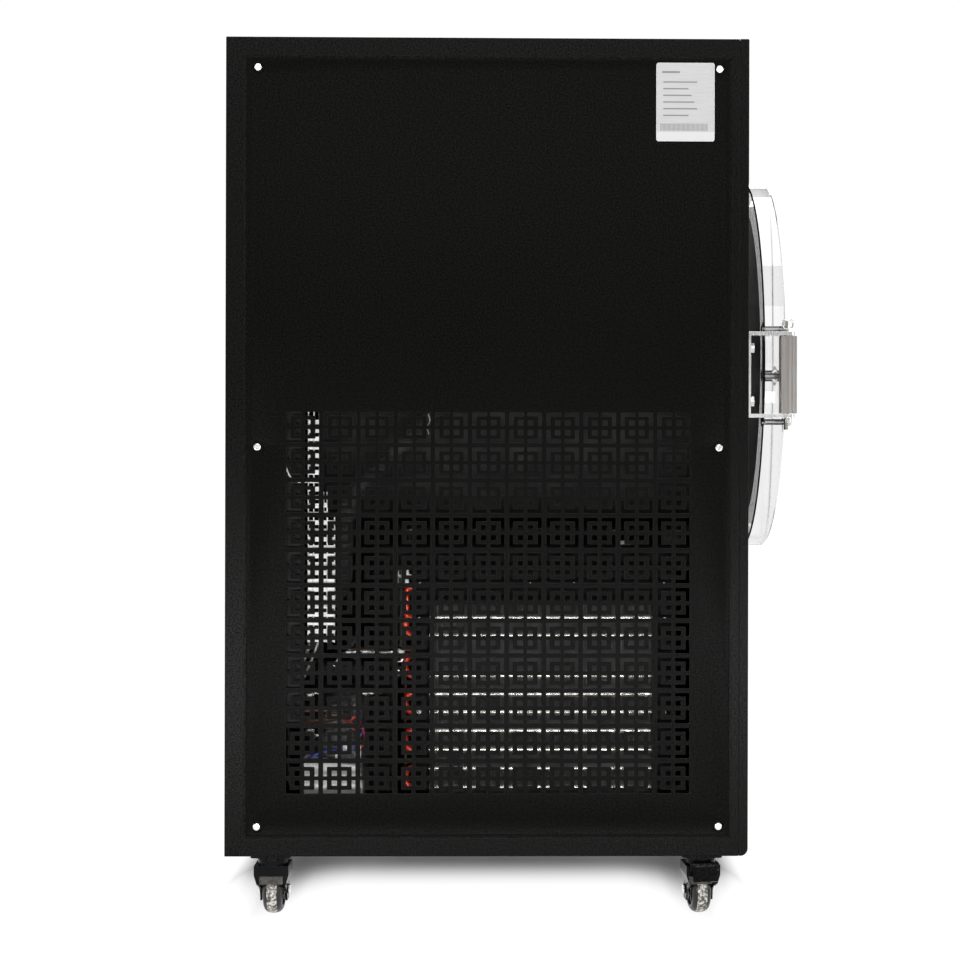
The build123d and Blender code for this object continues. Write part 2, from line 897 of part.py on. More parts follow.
coil_space = 2 * (coil_tube_radius + coil_seat)
coil_ring_radius = drum_radius + coil_seat + coil_tube_radius
hose_start_x = -hose_start_in
hose_start_y = mid_y + hose_start_back
hose_start_z = drum_z + sqrt(jacket_radius**2 - hose_start_x**2) + hose_boss_rise
boss_outer_x = hose_start_x - hose_boss_radius
boss_foot_z = drum_z + sqrt(jacket_radius**2 - boss_outer_x**2) - hose_boss_bite
jacket_bore = drum_radius + coil_space

with BuildPart() as chamber_insulation:
    with BuildSketch(drum_plane):
        with BuildLine():
            Polyline(
                (jacket_front, drum_radius + coil_seat),
                (jacket_front, jacket_radius),
                (jacket_rear, jacket_radius),
                (jacket_rear, 0),
                (drum_rear + coil_seat, 0),
                (drum_rear + coil_seat, jacket_bore),
                (jacket_front + jacket_collar, jacket_bore),
                (jacket_front + jacket_collar, drum_radius + coil_seat),
                close=True,
            )
        make_face()
    revolve(axis=drum_axis)
    # glued-on gland of the suction hose
    with BuildSketch(Plane.XY.offset(boss_foot_z)):
        with Locations((hose_start_x, hose_start_y)):
            Circle(hose_boss_radius)
    extrude(amount=hose_start_z - boss_foot_z)
    for x, y, z, radius in ports:
        with BuildSketch(Plane.XY.offset(drum_z - jacket_radius)):
            with Locations((x, y)):
                Circle(radius + coil_seat)
        extrude(amount=jacket_radius / 2, mode=Mode.SUBTRACT)
save(chamber_insulation.part, "chamber_insulation")

with BuildPart() as evaporator_coil:
    for turn in range(coil_count):
        ring_y = coil_start + turn * coil_step
        with Locations(Location((0, ring_y, drum_z), (90, 0, 0))):
            Torus(coil_ring_radius, coil_tube_radius)
    # header along the top of the drum joins the turns
    with BuildSketch(facing_front(coil_start + (coil_count - 1) * coil_step)):
        with Locations((0, drum_z + coil_ring_radius)):
            Circle(coil_header_radius)
    extrude(amount=(coil_count - 1) * coil_step)
save(evaporator_coil.part, "evaporator_coil")

with BuildPart() as door_gasket:
    gasket_back = front_y - flange_thickness
    gasket_front = gasket_back - gasket_depth
    gasket_inner = drum_bore_radius + 4.0
    gasket_outer = gasket_inner + gasket_width
    gasket_lip = 5.0
    with BuildSketch(drum_plane):
        with BuildLine():
            Polyline(
                (gasket_back, gasket_inner),
                (gasket_back, gasket_outer),
                (gasket_front, gasket_outer - 2.0),
                (gasket_front, gasket_outer - 2.0 - gasket_lip),
                (gasket_back - 4.0, gasket_outer - 4.0 - gasket_lip),
                (gasket_back - 4.0, gasket_inner + 4.0 + gasket_lip),
                (gasket_front, gasket_inner + 2.0 + gasket_lip),
                (gasket_front, gasket_inner + 2.0),
                close=True,
            )
        make_face()
    revolve(axis=drum_axis)
save(door_gasket.part, "door_gasket")

# ---------------------------------------------------------------- shelves and trays

rack_y0 = front_y + rack_front_gap
rack_mid_y = rack_y0 + rack_depth / 2
shelf_pitch = (rack_height - rack_sheet) / (shelf_count - 1)
shelf_z = [
    drum_z - rack_height / 2 + rack_sheet / 2 + n * shelf_pitch
    for n in range(shelf_count)
]

with BuildPart() as shelf_rack:
    for z in shelf_z:
        with Locations((0, rack_mid_y, z)):
            Box(rack_width, rack_depth, rack_sheet)
    with Locations(
        (-(rack_width - rack_sheet) / 2, rack_mid_y, drum_z),
        ((rack_width - rack_sheet) / 2, rack_mid_y, drum_z),
    ):
        Box(rack_sheet, rack_depth, rack_height)
    runner_x = rack_width / 2 - runner_in
    with Locations(
        (-runner_x, rack_mid_y, drum_z - rack_height / 2),
        (runner_x, rack_mid_y, drum_z - rack_height / 2),
    ):
        Box(
            runner_width,
            rack_depth,
            drum_bore_radius - rack_height / 2,
            align=(Align.CENTER, Align.CENTER, Align.MAX),
        )
    with Locations(Location((0, rack_mid_y, drum_z), (90, 0, 0))):
        Cylinder(
            drum_bore_radius - rack_clearance, rack_depth, mode=Mode.INTERSECT
        )
save(shelf_rack.part, "shelf_rack")

for n in range(tray_count):
    with BuildPart() as tray:
        with BuildSketch(Plane.XY.offset(shelf_z[n] + rack_sheet / 2)):
            with Locations((0, rack_mid_y)):
                RectangleRounded(tray_width, tray_depth, tray_corner_radius)
        extrude(amount=tray_height)
        with BuildSketch(Plane.XY.offset(shelf_z[n] + rack_sheet / 2 + tray_wall)):
            with Locations((0, rack_mid_y)):
                RectangleRounded(
                    tray_width - 2 * tray_wall,
                    tray_depth - 2 * tray_wall,
                    tray_corner_radius - tray_wall,
                )
        extrude(amount=tray_height, mode=Mode.SUBTRACT)
    save(tray.part, f"tray_{n + 1}")

# ---------------------------------------------------------------- door

clamp_bolt_x = hinge_x + clamp_bolt_in
clamp_bolt_z = [hinge_z + n * clamp_bolt_spacing for n in (-1, 0, 1)]
handle_x = door_radius - handle_in

with BuildPart() as door_disc:
    with BuildSketch(facing_front(door_back_y)):
        with Locations((0, drum_z)):
            Circle(door_radius)
        with Locations(*[(clamp_bolt_x, z) for z in clamp_bolt_z]):
            Circle(bolt_hole_radius, mode=Mode.SUBTRACT)
        with Locations((handle_x, drum_z)):
            Circle(bolt_hole_radius, mode=Mode.SUBTRACT)
    extrude(amount=door_thickness)
    with BuildSketch(facing_front(door_back_y)):
        with Locations(*[(clamp_bolt_x, z) for z in clamp_bolt_z], (handle_x, drum_z)):
            Circle(countersink_radius + countersink_gap)
    extrude(
        amount=countersink_radius - bolt_radius,
        taper=45,
        mode=Mode.SUBTRACT,
    )
    rim_edges = door_disc.edges().filter_by(GeomType.CIRCLE)
    rim_edges = rim_edges.filter_by(lambda edge: edge.radius > door_radius / 2)
    chamfer(rim_edges, length=door_chamfer)
save(door_disc.part, "door_disc")

arm_half = hinge_inner_height / 2 + hinge_arm_thickness
bracket_x0 = hinge_x - hinge_arm_width / 2
bracket_front_y = hinge_y - hinge_arm_nose

with BuildPart() as hinge_bracket:
    with BuildSketch(facing_front(front_y)):
        with Locations((bracket_x0 + hinge_base_width / 2, hinge_z)):
            Rectangle(hinge_base_width, 2 * arm_half)
        with Locations(
            (hinge_x, hinge_z - bracket_bolt_rise),
            (hinge_x, hinge_z + bracket_bolt_rise),
        ):
            Circle(bolt_hole_radius, mode=Mode.SUBTRACT)
    extrude(amount=hinge_base_thickness)
    for foot_z in (hinge_z - arm_half, hinge_z + arm_half - hinge_arm_thickness):
        with BuildSketch(Plane.XY.offset(foot_z)) as arm:
            with Locations((hinge_x, (front_y + bracket_front_y) / 2)):
                Rectangle(hinge_arm_width, front_y - bracket_front_y)
            fillet(arm.vertices().group_by(Axis.Y)[0], radius=hinge_arm_nose - 1.0)
            with Locations((hinge_x, hinge_y)):
                Circle(pin_bore_radius, mode=Mode.SUBTRACT)
        extrude(amount=hinge_arm_thickness)
save(hinge_bracket.part, "hinge_bracket")


def hex_bolt(x, y, z, length):
    """A hexagon bolt along Y: head in front of the face at y, shank going back."""
    with BuildPart(mode=Mode.PRIVATE) as bolt:
        with BuildSketch(facing_front(y)):
            with Locations((x, z)):
                RegularPolygon(bolt_head_radius, 6)
        extrude(amount=bolt_head_height)
        with BuildSketch(facing_front(y + length)):
            with Locations((x, z)):
                Circle(bolt_radius)
        extrude(amount=length)
        # nut behind the fascia
        with BuildSketch(facing_front(front_y + sheet + bolt_head_height)):
            with Locations((x, z)):
                RegularPolygon(bolt_head_radius, 6)
        extrude(amount=bolt_head_height)
    return bolt.part


bracket_bolts = [
    hex_bolt(
        hinge_x,
        front_y - hinge_base_thickness,
        hinge_z + n * bracket_bolt_rise,
        bracket_bolt_length,
    )
    for n in (-1, 1)
]
save(Compound(children=bracket_bolts), "hinge_bracket_bolts")

with BuildPart() as hinge_pin:
    pin_foot = hinge_z - arm_half - pin_foot_reach
    pin_top = hinge_z + arm_half
    with BuildSketch(Plane.XY.offset(pin_foot)):
        with Locations((hinge_x, hinge_y)):
            Circle(pin_radius)
    extrude(amount=pin_top - pin_foot)
    with BuildSketch(Plane.XY.offset(pin_top)):
        with Locations((hinge_x, hinge_y)):
            RegularPolygon(pin_head_radius, 6)
    extrude(amount=pin_head_height)
    ring_z = pin_top + pin_head_height + pin_ring_radius - pin_ring_wire / 2
    with Locations(Location((hinge_x, hinge_y, ring_z), (0, 90, pin_ring_turn))):
        Torus(pin_ring_radius, pin_ring_wire)
save(hinge_pin.part, "hinge_pin")

knuckle_half = hinge_inner_height / 2 - knuckle_end_gap

with BuildPart() as hinge_leaf:
    with BuildSketch(Plane.XY.offset(hinge_z - knuckle_half)) as knuckle:
        with Locations((hinge_x, hinge_y)):
            Rectangle(knuckle_size, knuckle_size)
        fillet(knuckle.vertices(), radius=knuckle_round)
        with Locations((hinge_x, hinge_y)):
            Circle(pin_bore_radius, mode=Mode.SUBTRACT)
        with Locations((hinge_x - knuckle_size / 2, hinge_y - knuckle_size / 5)):
            Rectangle(knuckle_groove, knuckle_groove, mode=Mode.SUBTRACT)
    extrude(amount=2 * knuckle_half)
    leaf_end = hinge_x + leaf_reach
    leaf_step = hinge_x + leaf_tall_start
    with BuildSketch(facing_front(door_front_y)):
        with BuildLine():
            Polyline(
                (hinge_x + knuckle_size / 2 - 1.0, hinge_z - knuckle_half),
                (leaf_step, hinge_z - knuckle_half),
                (leaf_step, hinge_z - leaf_tall_half),
                (leaf_end, hinge_z - leaf_tall_half),
                (leaf_end, hinge_z + leaf_tall_half),
                (leaf_step, hinge_z + leaf_tall_half),
                (leaf_step, hinge_z + knuckle_half),
                (hinge_x + knuckle_size / 2 - 1.0, hinge_z + knuckle_half),
                close=True,
            )
        make_face()
        with Locations(*[(clamp_bolt_x, z) for z in clamp_bolt_z]):
            Circle(bolt_hole_radius, mode=Mode.SUBTRACT)
    extrude(amount=leaf_thickness)
save(hinge_leaf.part, "hinge_leaf")

dome_nut_height = 7.0
handle_bolt_bite = 12.0


def clamp_bolt(x, z, front_end, nut):
    """A countersunk bolt from behind the door, with a dome nut on its far end if asked."""
    with BuildPart(mode=Mode.PRIVATE) as bolt:
        with BuildSketch(facing_front(door_back_y)):
            with Locations((x, z)):
                Circle(countersink_radius)
        extrude(amount=countersink_radius - bolt_radius, taper=45)
        with BuildSketch(facing_front(door_back_y)):
            with Locations((x, z)):
                Circle(bolt_radius)
        extrude(amount=door_back_y - front_end)
        if nut:
            with BuildSketch(facing_front(front_end)):
                with Locations((x, z)):
                    Circle(bolt_head_radius - 0.5)
            extrude(amount=dome_nut_height)
            fillet(bolt.edges().group_by(Axis.Y)[0], radius=3.0)
    return bolt.part


door_bolts = [
    clamp_bolt(clamp_bolt_x, z, door_front_y - leaf_thickness, True)
    for z in clamp_bolt_z
]
door_bolts.append(
    clamp_bolt(handle_x, drum_z, door_front_y - handle_bolt_bite, False)
)
save(Compound(children=door_bolts), "door_clamp_bolts")

with BuildPart() as door_handle:
    handle_plane = Plane(
        origin=(handle_x, door_front_y, drum_z), x_dir=(0, -1, 0), z_dir=(1, 0, 0)
    )
    with BuildSketch(handle_plane):
        with BuildLine():
            Polyline(
                (0, 0),
                (0, handle_stem_radius + handle_foot_extra),
                (handle_foot_length, handle_stem_radius + handle_foot_extra),
                (handle_stem_start, handle_stem_radius),
                (handle_reach - handle_grip_length, handle_stem_radius + handle_swell),
                (handle_reach - handle_grip_length + handle_grip_slope, handle_grip_radius),
                (handle_reach - handle_end_length, handle_grip_radius),
                (handle_reach, handle_grip_radius - handle_end_step),
                (handle_reach, 0),
                close=True,
            )
        make_face()
    revolve(axis=Axis((handle_x, door_front_y, drum_z), (0, 1, 0)))
    with BuildSketch(facing_front(door_front_y)):
        with Locations((handle_x, drum_z)):
            Circle(bolt_hole_radius)
    extrude(amount=handle_bolt_bite + handle_bolt_play, mode=Mode.SUBTRACT)
save(door_handle.part, "door_handle")

latch_x = half_width - latch_post_in
latch_z = drum_z + latch_rise
latch_shoulder_y = door_front_y - latch_door_gap

with BuildPart() as latch_post:
    with BuildSketch(facing_front(front_y)):
        with Locations((latch_x, latch_z)):
            Circle(latch_flange_radius)
    extrude(amount=latch_flange_height)
    with BuildSketch(facing_front(front_y)):
        with Locations((latch_x, latch_z)):
            Circle(latch_post_radius)
    extrude(amount=front_y - latch_shoulder_y)
    with BuildSketch(facing_front(latch_shoulder_y)):
        with Locations((latch_x, latch_z)):
            Circle(latch_stud_radius)
    extrude(amount=latch_lever_thickness + latch_stud_play)
    with BuildSketch(
        facing_front(latch_shoulder_y - latch_lever_thickness - latch_stud_play)
    ):
        with Locations((latch_x, latch_z)):
            Circle(latch_post_radius)
    extrude(amount=latch_cap_height)
    fillet(latch_post.edges().group_by(Axis.Y)[0], radius=latch_cap_round)
save(latch_post.part, "latch_post")

with BuildPart() as latch_lever:
    with BuildSketch(facing_front(latch_shoulder_y - latch_stud_play / 2)):
        with Locations((latch_x, latch_z + latch_lever_length / 2)):
            SlotCenterToCenter(latch_lever_length, latch_lever_width, rotation=90)
        with Locations((latch_x, latch_z)):
            Circle(latch_stud_bore, mode=Mode.SUBTRACT)
    extrude(amount=latch_lever_thickness)
    knob_z = latch_z + latch_lever_length
    with BuildSketch(
        facing_front(latch_shoulder_y - latch_stud_play / 2 - latch_lever_thickness)
    ):
        with Locations((latch_x, knob_z)):
            Circle(latch_lever_width / 2 - latch_knob_step)
    extrude(amount=latch_knob_height)
    fillet(latch_lever.edges().group_by(Axis.Y)[0], radius=latch_knob_round)
save(latch_lever.part, "latch_lever")

# ---------------------------------------------------------------- compressor

comp_x = -(half_width - compressor_inset_x)
comp_y = rear_y - compressor_inset_y
foot_z = pan_top + grommet_height
shell_z0 = foot_z + foot_sheet
shell_z1 = shell_z0 + compressor_height
grommet_y = foot_length / 2 - grommet_inset_y
grommet_x = foot_width / 2 - grommet_inset_x
discharge_stub = (comp_x + discharge_stub_at[0], comp_y + discharge_stub_at[1])
suction_stub = (comp_x + suction_stub_at[0], comp_y + suction_stub_at[1])
stub_top = shell_z1 + stub_height

with BuildPart() as compressor_shell:
    with BuildSketch(Plane.XY.offset(shell_z0)):
        with Locations((comp_x, comp_y)):
            Circle(compressor_radius)
    extrude(amount=compressor_height)
    fillet(compressor_shell.edges().sort_by(Axis.Z)[-1:], radius=shell_dome)
    fillet(compressor_shell.edges().sort_by(Axis.Z)[0:1], radius=shell_foot)
    # welded belly seam
    with BuildSketch(Plane.XY.offset(shell_z0 + compressor_height * belly_seam_at)):
        with Locations((comp_x, comp_y)):
            Circle(compressor_radius + belly_seam_proud)
    extrude(amount=belly_seam_width)
    with BuildSketch(Plane.XY.offset(foot_z)):
        with Locations((comp_x, comp_y)):
            RectangleRounded(foot_width, foot_length, foot_corner_radius)
            with GridLocations(2 * grommet_x, 2 * grommet_y, 2, 2):
                Circle(bolt_hole_radius, mode=Mode.SUBTRACT)
    extrude(amount=foot_sheet)
    with BuildSketch(Plane.XY.offset(shell_z1 - shell_dome)):
        with Locations(discharge_stub):
            Circle(pipe_radius)
        with Locations(suction_stub):
            Circle(2 * pipe_radius)
    extrude(amount=stub_top - shell_z1 + shell_dome)
save(compressor_shell.part, "compressor_shell")

with BuildPart() as compressor_mounts:
    with BuildSketch(Plane.XY.offset(pan_top)):
        with Locations((comp_x, comp_y)):
            with GridLocations(2 * grommet_x, 2 * grommet_y, 2, 2):
                Circle(grommet_radius)
    extrude(amount=grommet_height)
save(compressor_mounts.part, "compressor_mounts")

with BuildPart() as compressor_terminal_cover:
    cover_x0 = -half_width + cover_inset
    cover_z0 = shell_z0 + cover_lift
    cover_y0 = comp_y - cover_width / 2 + cover_shift
    with BuildSketch(side_plane(cover_x0)):
        with BuildLine():
            Polyline(
                (cover_y0 - cover_foot, cover_z0),
                (cover_y0 + cover_width, cover_z0),
                (cover_y0 + cover_width, cover_z0 + cover_height),
                (cover_y0 + cover_lean - cover_foot, cover_z0 + cover_height - cover_top_slope),
                close=True,
            )
        make_face()
    extrude(amount=compressor_inset_x - cover_inset)
    fillet(
        compressor_terminal_cover.faces().sort_by(Axis.X)[0].edges(), radius=3.0
    )
    with Locations((comp_x, comp_y, shell_z0)):
        Cylinder(
            compressor_radius + cover_seat,
            2 * compressor_height,
            mode=Mode.SUBTRACT,
        )
save(compressor_terminal_cover.part, "compressor_terminal_cover")

# ---------------------------------------------------------------- condenser and its fan

coil_x0 = -half_width + coil_inset
coil_x1 = coil_x0 + coil_thickness
coil_y0 = front_y + coil_front_inset
coil_y1 = coil_y0 + coil_width
coil_z0 = pan_top + coil_lift
coil_z1 = coil_z0 + coil_height
coil_mid_x = (coil_x0 + coil_x1) / 2
coil_mid_y = (coil_y0 + coil_y1) / 2
coil_mid_z = (coil_z0 + coil_z1) / 2
outer_tube_x = coil_x0 + tube_row_inset
inner_tube_x = coil_x1 - tube_row_inset
tube_z = [coil_mid_z + (n - (tube_rows - 1) / 2) * tube_pitch for n in range(tube_rows)]
tube_places = [(outer_tube_x, z) for z in tube_z]
tube_places += [(inner_tube_x, z) for z in tube_z[-inner_rows:]]

with BuildPart() as condenser_fins:
    with BuildSketch(side_plane(coil_x0)):
        with Locations((coil_mid_y, coil_mid_z)):
            Rectangle(coil_width, coil_height)
    extrude(amount=coil_thickness)
    with BuildSketch(facing_front(coil_y1)):
        with Locations(*tube_places):
            Circle(tube_hole_radius)
        # the front row of tubes shows between the fins
        with Locations(*[(coil_x0, z) for z in tube_z]):
            Rectangle(2 * tube_row_inset, tube_slot)
    extrude(amount=coil_width, mode=Mode.SUBTRACT)
save(condenser_fins.part, "condenser_fins")

with BuildPart() as condenser_frame:
    for y in (coil_y0 - end_sheet, coil_y1):
        with BuildSketch(facing_front(y + end_sheet)):
            with Locations((coil_mid_x, (pan_top + coil_z1 + end_margin) / 2)):
                Rectangle(coil_thickness, coil_z1 + end_margin - pan_top)
            with Locations(*tube_places):
                Circle(tube_hole_radius, mode=Mode.SUBTRACT)
        extrude(amount=end_sheet)
    for z in (coil_z0 - end_sheet, coil_z1):
        with Locations((coil_mid_x, coil_mid_y, z)):
            Box(
                coil_thickness,
                coil_width,
                end_sheet,
                align=(Align.CENTER, Align.CENTER, Align.MIN),
            )
save(condenser_frame.part, "condenser_frame")

tube_y0 = coil_y0 - end_sheet - tube_stub
tube_y1 = coil_y1 + end_sheet + tube_stub
bend = tube_pitch / 2


def tube_run(x, forward, z):
    """One straight length of tube, run towards the front if forward."""
    ends = [(x, tube_y1, z), (x, tube_y0, z)]
    if not forward:
        ends.reverse()
    Line(*ends)


def tube_bend(x, y, z, up):
    """The return bend that leads from one row to the next, above or below it."""
    out = bend if y > coil_mid_y else -bend
    ThreePointArc((x, y, z), (x, y + out, z + up * bend), (x, y, z + up * tube_pitch))


with BuildPart() as condenser_tubes:
    with BuildLine() as tube_route:
        for n in range(tube_rows):
            forward = n % 2 == 0
            tube_run(outer_tube_x, forward, tube_z[n])
            if n < tube_rows - 1:
                tube_bend(outer_tube_x, tube_y0 if forward else tube_y1, tube_z[n], 1)
        # across to the inner row at the front, then down it
        ThreePointArc(
            (outer_tube_x, tube_y0, tube_z[-1]),
            (coil_mid_x, tube_y0 - (inner_tube_x - outer_tube_x) / 2, tube_z[-1]),
            (inner_tube_x, tube_y0, tube_z[-1]),
        )
        for n in range(inner_rows):
            row_z = tube_z[-1 - n]
            forward = n % 2 == 1
            tube_run(inner_tube_x, forward, row_z)
            if n < inner_rows - 1:
                tube_bend(inner_tube_x, tube_y0 if forward else tube_y1, row_z, -1)
    with BuildSketch(route_plane(tube_route.wire())):
        Circle(tube_radius)
    sweep(path=tube_route.wire())
save(condenser_tubes.part, "condenser_tubes")

with BuildPart() as fan_shroud:
    with BuildSketch(side_plane(coil_x1)):
        with Locations((coil_mid_y, coil_mid_z)):
            Rectangle(coil_width, coil_height)
            Circle(fan_ring_radius, mode=Mode.SUBTRACT)
    extrude(amount=end_sheet)
    with BuildSketch(side_plane(coil_x1)):
        with Locations((coil_mid_y, coil_mid_z)):
            Circle(fan_ring_radius + fan_ring_wall)
            Circle(fan_ring_radius, mode=Mode.SUBTRACT)
    extrude(amount=fan_ring_depth)
save(fan_shroud.part, "fan_shroud")

fan_x = coil_x1 + fan_ring_depth / 2 + fan_ring_gap
motor_x0 = fan_x + fan_hub_length / 2 + fan_motor_gap

with BuildPart() as fan_motor:
    with BuildSketch(side_plane(motor_x0)):
        with Locations((coil_mid_y, coil_mid_z)):
            Circle(fan_motor_radius)
    extrude(amount=fan_motor_length)
    fillet(fan_motor.edges().filter_by(GeomType.CIRCLE), radius=fan_motor_round)
    with BuildSketch(side_plane(fan_x - fan_hub_length / 2)):
        with Locations((coil_mid_y, coil_mid_z)):
            Circle(fan_shaft_radius)
    extrude(amount=motor_x0 - fan_x + fan_hub_length / 2 + fan_shaft_bite)
    # three strap arms down to the shroud
    for turn in (90, 210, 330):
        arm_y = coil_mid_y + cos(radians(turn)) * fan_arm_reach / 2
        arm_z = coil_mid_z + sin(radians(turn)) * fan_arm_reach / 2
        foot_y = coil_mid_y + cos(radians(turn)) * (fan_arm_reach - fan_arm_foot / 2)
        foot_arm_z = coil_mid_z + sin(radians(turn)) * (fan_arm_reach - fan_arm_foot / 2)
        with BuildSketch(side_plane(motor_x0 + fan_arm_in)):
            with Locations((arm_y, arm_z)):
                Rectangle(fan_arm_reach, fan_arm_width, rotation=turn)
        extrude(amount=fan_arm_sheet)
        with BuildSketch(side_plane(coil_x1 + end_sheet)):
            with Locations((foot_y, foot_arm_z)):
                Rectangle(fan_arm_foot, fan_arm_width, rotation=turn)
        extrude(amount=motor_x0 + fan_arm_in + fan_arm_sheet - coil_x1 - end_sheet)
save(fan_motor.part, "fan_motor")

with BuildPart() as fan_blade:
    with BuildSketch(side_plane(fan_x - fan_hub_length / 2)):
        with Locations((coil_mid_y, coil_mid_z)):
            Circle(fan_hub_radius)
    extrude(amount=fan_hub_length)
    for n in range(fan_blades):
        turn = n * 360.0 / fan_blades
        along = Vector(0, cos(radians(turn)), sin(radians(turn)))
        aside = Vector(0, -sin(radians(turn)), cos(radians(turn)))
        pitch = radians(fan_pitch_angle)
        blade_plane = Plane(
            origin=(fan_x, coil_mid_y, coil_mid_z),
            x_dir=along,
            z_dir=Vector(cos(pitch), 0, 0) + aside * sin(pitch),
        )
        with BuildSketch(blade_plane):
            with BuildLine():
                Polyline(
                    (fan_hub_radius - fan_blade_root_bite, -fan_blade_root),
                    (fan_blade_radius * fan_blade_belly_at, -fan_blade_belly),
                    (fan_blade_radius - fan_blade_tip_in, -fan_blade_tip),
                    (fan_blade_radius - fan_blade_nose_in, 0),
                    (fan_blade_radius - fan_blade_heel_in, fan_blade_tip),
                    (fan_blade_radius * fan_blade_back_at, fan_blade_back),
                    (fan_hub_radius - fan_blade_root_bite, fan_blade_root),
                    close=True,
                )
            make_face()
        extrude(amount=fan_blade_sheet / 2, both=True)
    with BuildSketch(side_plane(fan_x - fan_hub_length)):
        with Locations((coil_mid_y, coil_mid_z)):
            Circle(fan_shaft_bore)
    extrude(amount=2 * fan_hub_length, mode=Mode.SUBTRACT)
save(fan_blade.part, "fan_blade")

# ---------------------------------------------------------------- pipes


def pipe(points, radius, bend_radius):
    """A bent pipe along straight runs joined by tangent arcs."""
    with BuildPart(mode=Mode.PRIVATE) as made:
        with BuildLine() as route:
            FilletPolyline(*points, radius=bend_radius)
        with BuildSketch(route_plane(route.wire())):
            Circle(radius)
        sweep(path=route.wire())
    return made.part


pipe_x = inner_tube_x
drier_z = tube_z[-inner_rows] - drier_drop
drier_y0 = tube_y1 + drier_gap
drier_y1 = drier_y0 + drier_length
drier_end_radius = pipe_radius + 1.0

with BuildPart() as filter_drier:
    with BuildSketch(
        Plane(origin=(pipe_x, 0, drier_z), x_dir=(0, 1, 0), z_dir=(1, 0, 0))
    ):
        with BuildLine():
            Polyline(
                (drier_y0, 0),
                (drier_y0, drier_end_radius),
                (drier_y0 + drier_neck, drier_end_radius),
                (drier_y0 + drier_cone, drier_radius),
                (drier_y1 - drier_cone, drier_radius),
                (drier_y1 - drier_neck, drier_end_radius),
                (drier_y1, drier_end_radius),
                (drier_y1, 0),
                close=True,
            )
        make_face()
    revolve(axis=Axis((pipe_x, 0, drier_z), (0, 1, 0)))
save(filter_drier.part, "filter_drier")

# from the condenser's lowest tube to the drier, and on to the jacket's rear wall
outlet_y = tube_y1 + outlet_reach
riser_y = jacket_rear + riser_gap
jacket_inlet_x = -jacket_inlet_in
jacket_inlet_z = drum_z - jacket_inlet_drop
liquid_in = pipe(
    [
        (outer_tube_x, tube_y1, tube_z[0]),
        (outer_tube_x, outlet_y, tube_z[0]),
        (pipe_x, outlet_y, tube_z[0]),
        (pipe_x, outlet_y, drier_z),
        (pipe_x, drier_y0, drier_z),
    ],
    small_pipe_radius,
    small_pipe_bend,
)
liquid_out = pipe(
    [
        (pipe_x, drier_y1, drier_z),
        (pipe_x, riser_y, drier_z),
        (pipe_x, riser_y, jacket_inlet_z),
        (jacket_inlet_x, riser_y, jacket_inlet_z),
        (jacket_inlet_x, jacket_rear, jacket_inlet_z),
    ],
    small_pipe_radius,
    liquid_bend,
)
save(Compound(children=[liquid_in, liquid_out]), "liquid_line")

# from the compressor to the top of the condenser's inner row
discharge_z = tube_z[-inner_rows]
discharge_line = pipe(
    [
        (discharge_stub[0], discharge_stub[1], stub_top),
        (discharge_stub[0], discharge_stub[1], discharge_z),
        (inner_tube_x, discharge_stub[1], discharge_z),
        (inner_tube_x, tube_y1, discharge_z),
    ],
    pipe_radius,
    pipe_bend,
)
save(discharge_line, "discharge_line")

# insulated suction hose: over the jacket's shoulder and down to the compressor
hose_x = -(jacket_radius + hose_offset)
hose_over_z = hose_start_z + hose_over_rise
suction_hose = pipe(
    [
        (hose_start_x, hose_start_y, hose_start_z),
        (hose_start_x, hose_start_y, hose_over_z),
        (hose_x, hose_start_y, hose_over_z),
        (hose_x, hose_start_y, drum_z - hose_drop),
        (hose_x, hose_start_y + hose_slant_y, beam_top + hose_slant_rise),
        (hose_x + hose_foot_in, hose_start_y + hose_foot_y, beam_top - hose_slant_rise),
        (suction_stub[0], suction_stub[1], stub_top + hose_foot_rise),
        (suction_stub[0], suction_stub[1], stub_top),
    ],
    hose_radius,
    hose_bend,
)
save(suction_hose, "suction_hose")

# ---------------------------------------------------------------- vacuum pump

pump_y0 = pump_port_y - pump_head_length / 2
pump_y1 = pump_y0 + pump_head_length
pump_axis_z = pan_top + pump_axis_rise
pump_top = pan_top + pump_head_height
port_height = 30.0
pump_foot_half = 50.0
fin_count = 7
fin_depth = 4.0
fin_pitch = pump_head_length / fin_count

with BuildPart() as vacuum_pump:
    with BuildSketch(Plane.XY.offset(pan_top)):
        with Locations((pump_x, (pump_y0 + pump_y1) / 2)):
            RectangleRounded(pump_head_width, pump_head_length, pump_corner_radius)
    extrude(amount=pump_head_height)
    fillet(
        vacuum_pump.faces().sort_by(Axis.Z)[-1].edges(), radius=pump_edge_round
    )
    # cooling ribs on both flanks of the oil case
    for n in range(fin_count):
        for side in (-1, 1):
            with Locations(
                (
                    pump_x + side * pump_head_width / 2,
                    pump_y0 + (n + 0.5) * fin_pitch,
                    pan_top + pump_head_height * pump_rib_rise,
                )
            ):
                Box(
                    2 * fin_depth,
                    fin_pitch * pump_rib_width,
                    pump_head_height * pump_rib_height,
                )
    with BuildSketch(facing_front(pump_y1 + pump_motor_length)):
        with Locations((pump_x, pump_axis_z)):
            Circle(pump_motor_radius)
    extrude(amount=pump_motor_length + pump_motor_bite)
    motor_end = vacuum_pump.faces().sort_by(Axis.Y)[-1]
    fillet(motor_end.edges(), radius=pump_motor_round)
    with Locations((pump_x, pump_y1 + pump_motor_length / 2, pan_top)):
        Box(
            2 * pump_foot_half,
            pump_motor_length / 2,
            pump_axis_rise - pump_motor_radius / 2,
            align=(Align.CENTER, Align.CENTER, Align.MIN),
        )
    with BuildSketch(Plane.XY.offset(pump_top - pump_motor_bite)):
        with Locations((pump_x, pump_port_y)):
            Circle(port_radius)
    extrude(amount=port_height + pump_motor_bite)
save(vacuum_pump.part, "vacuum_pump")

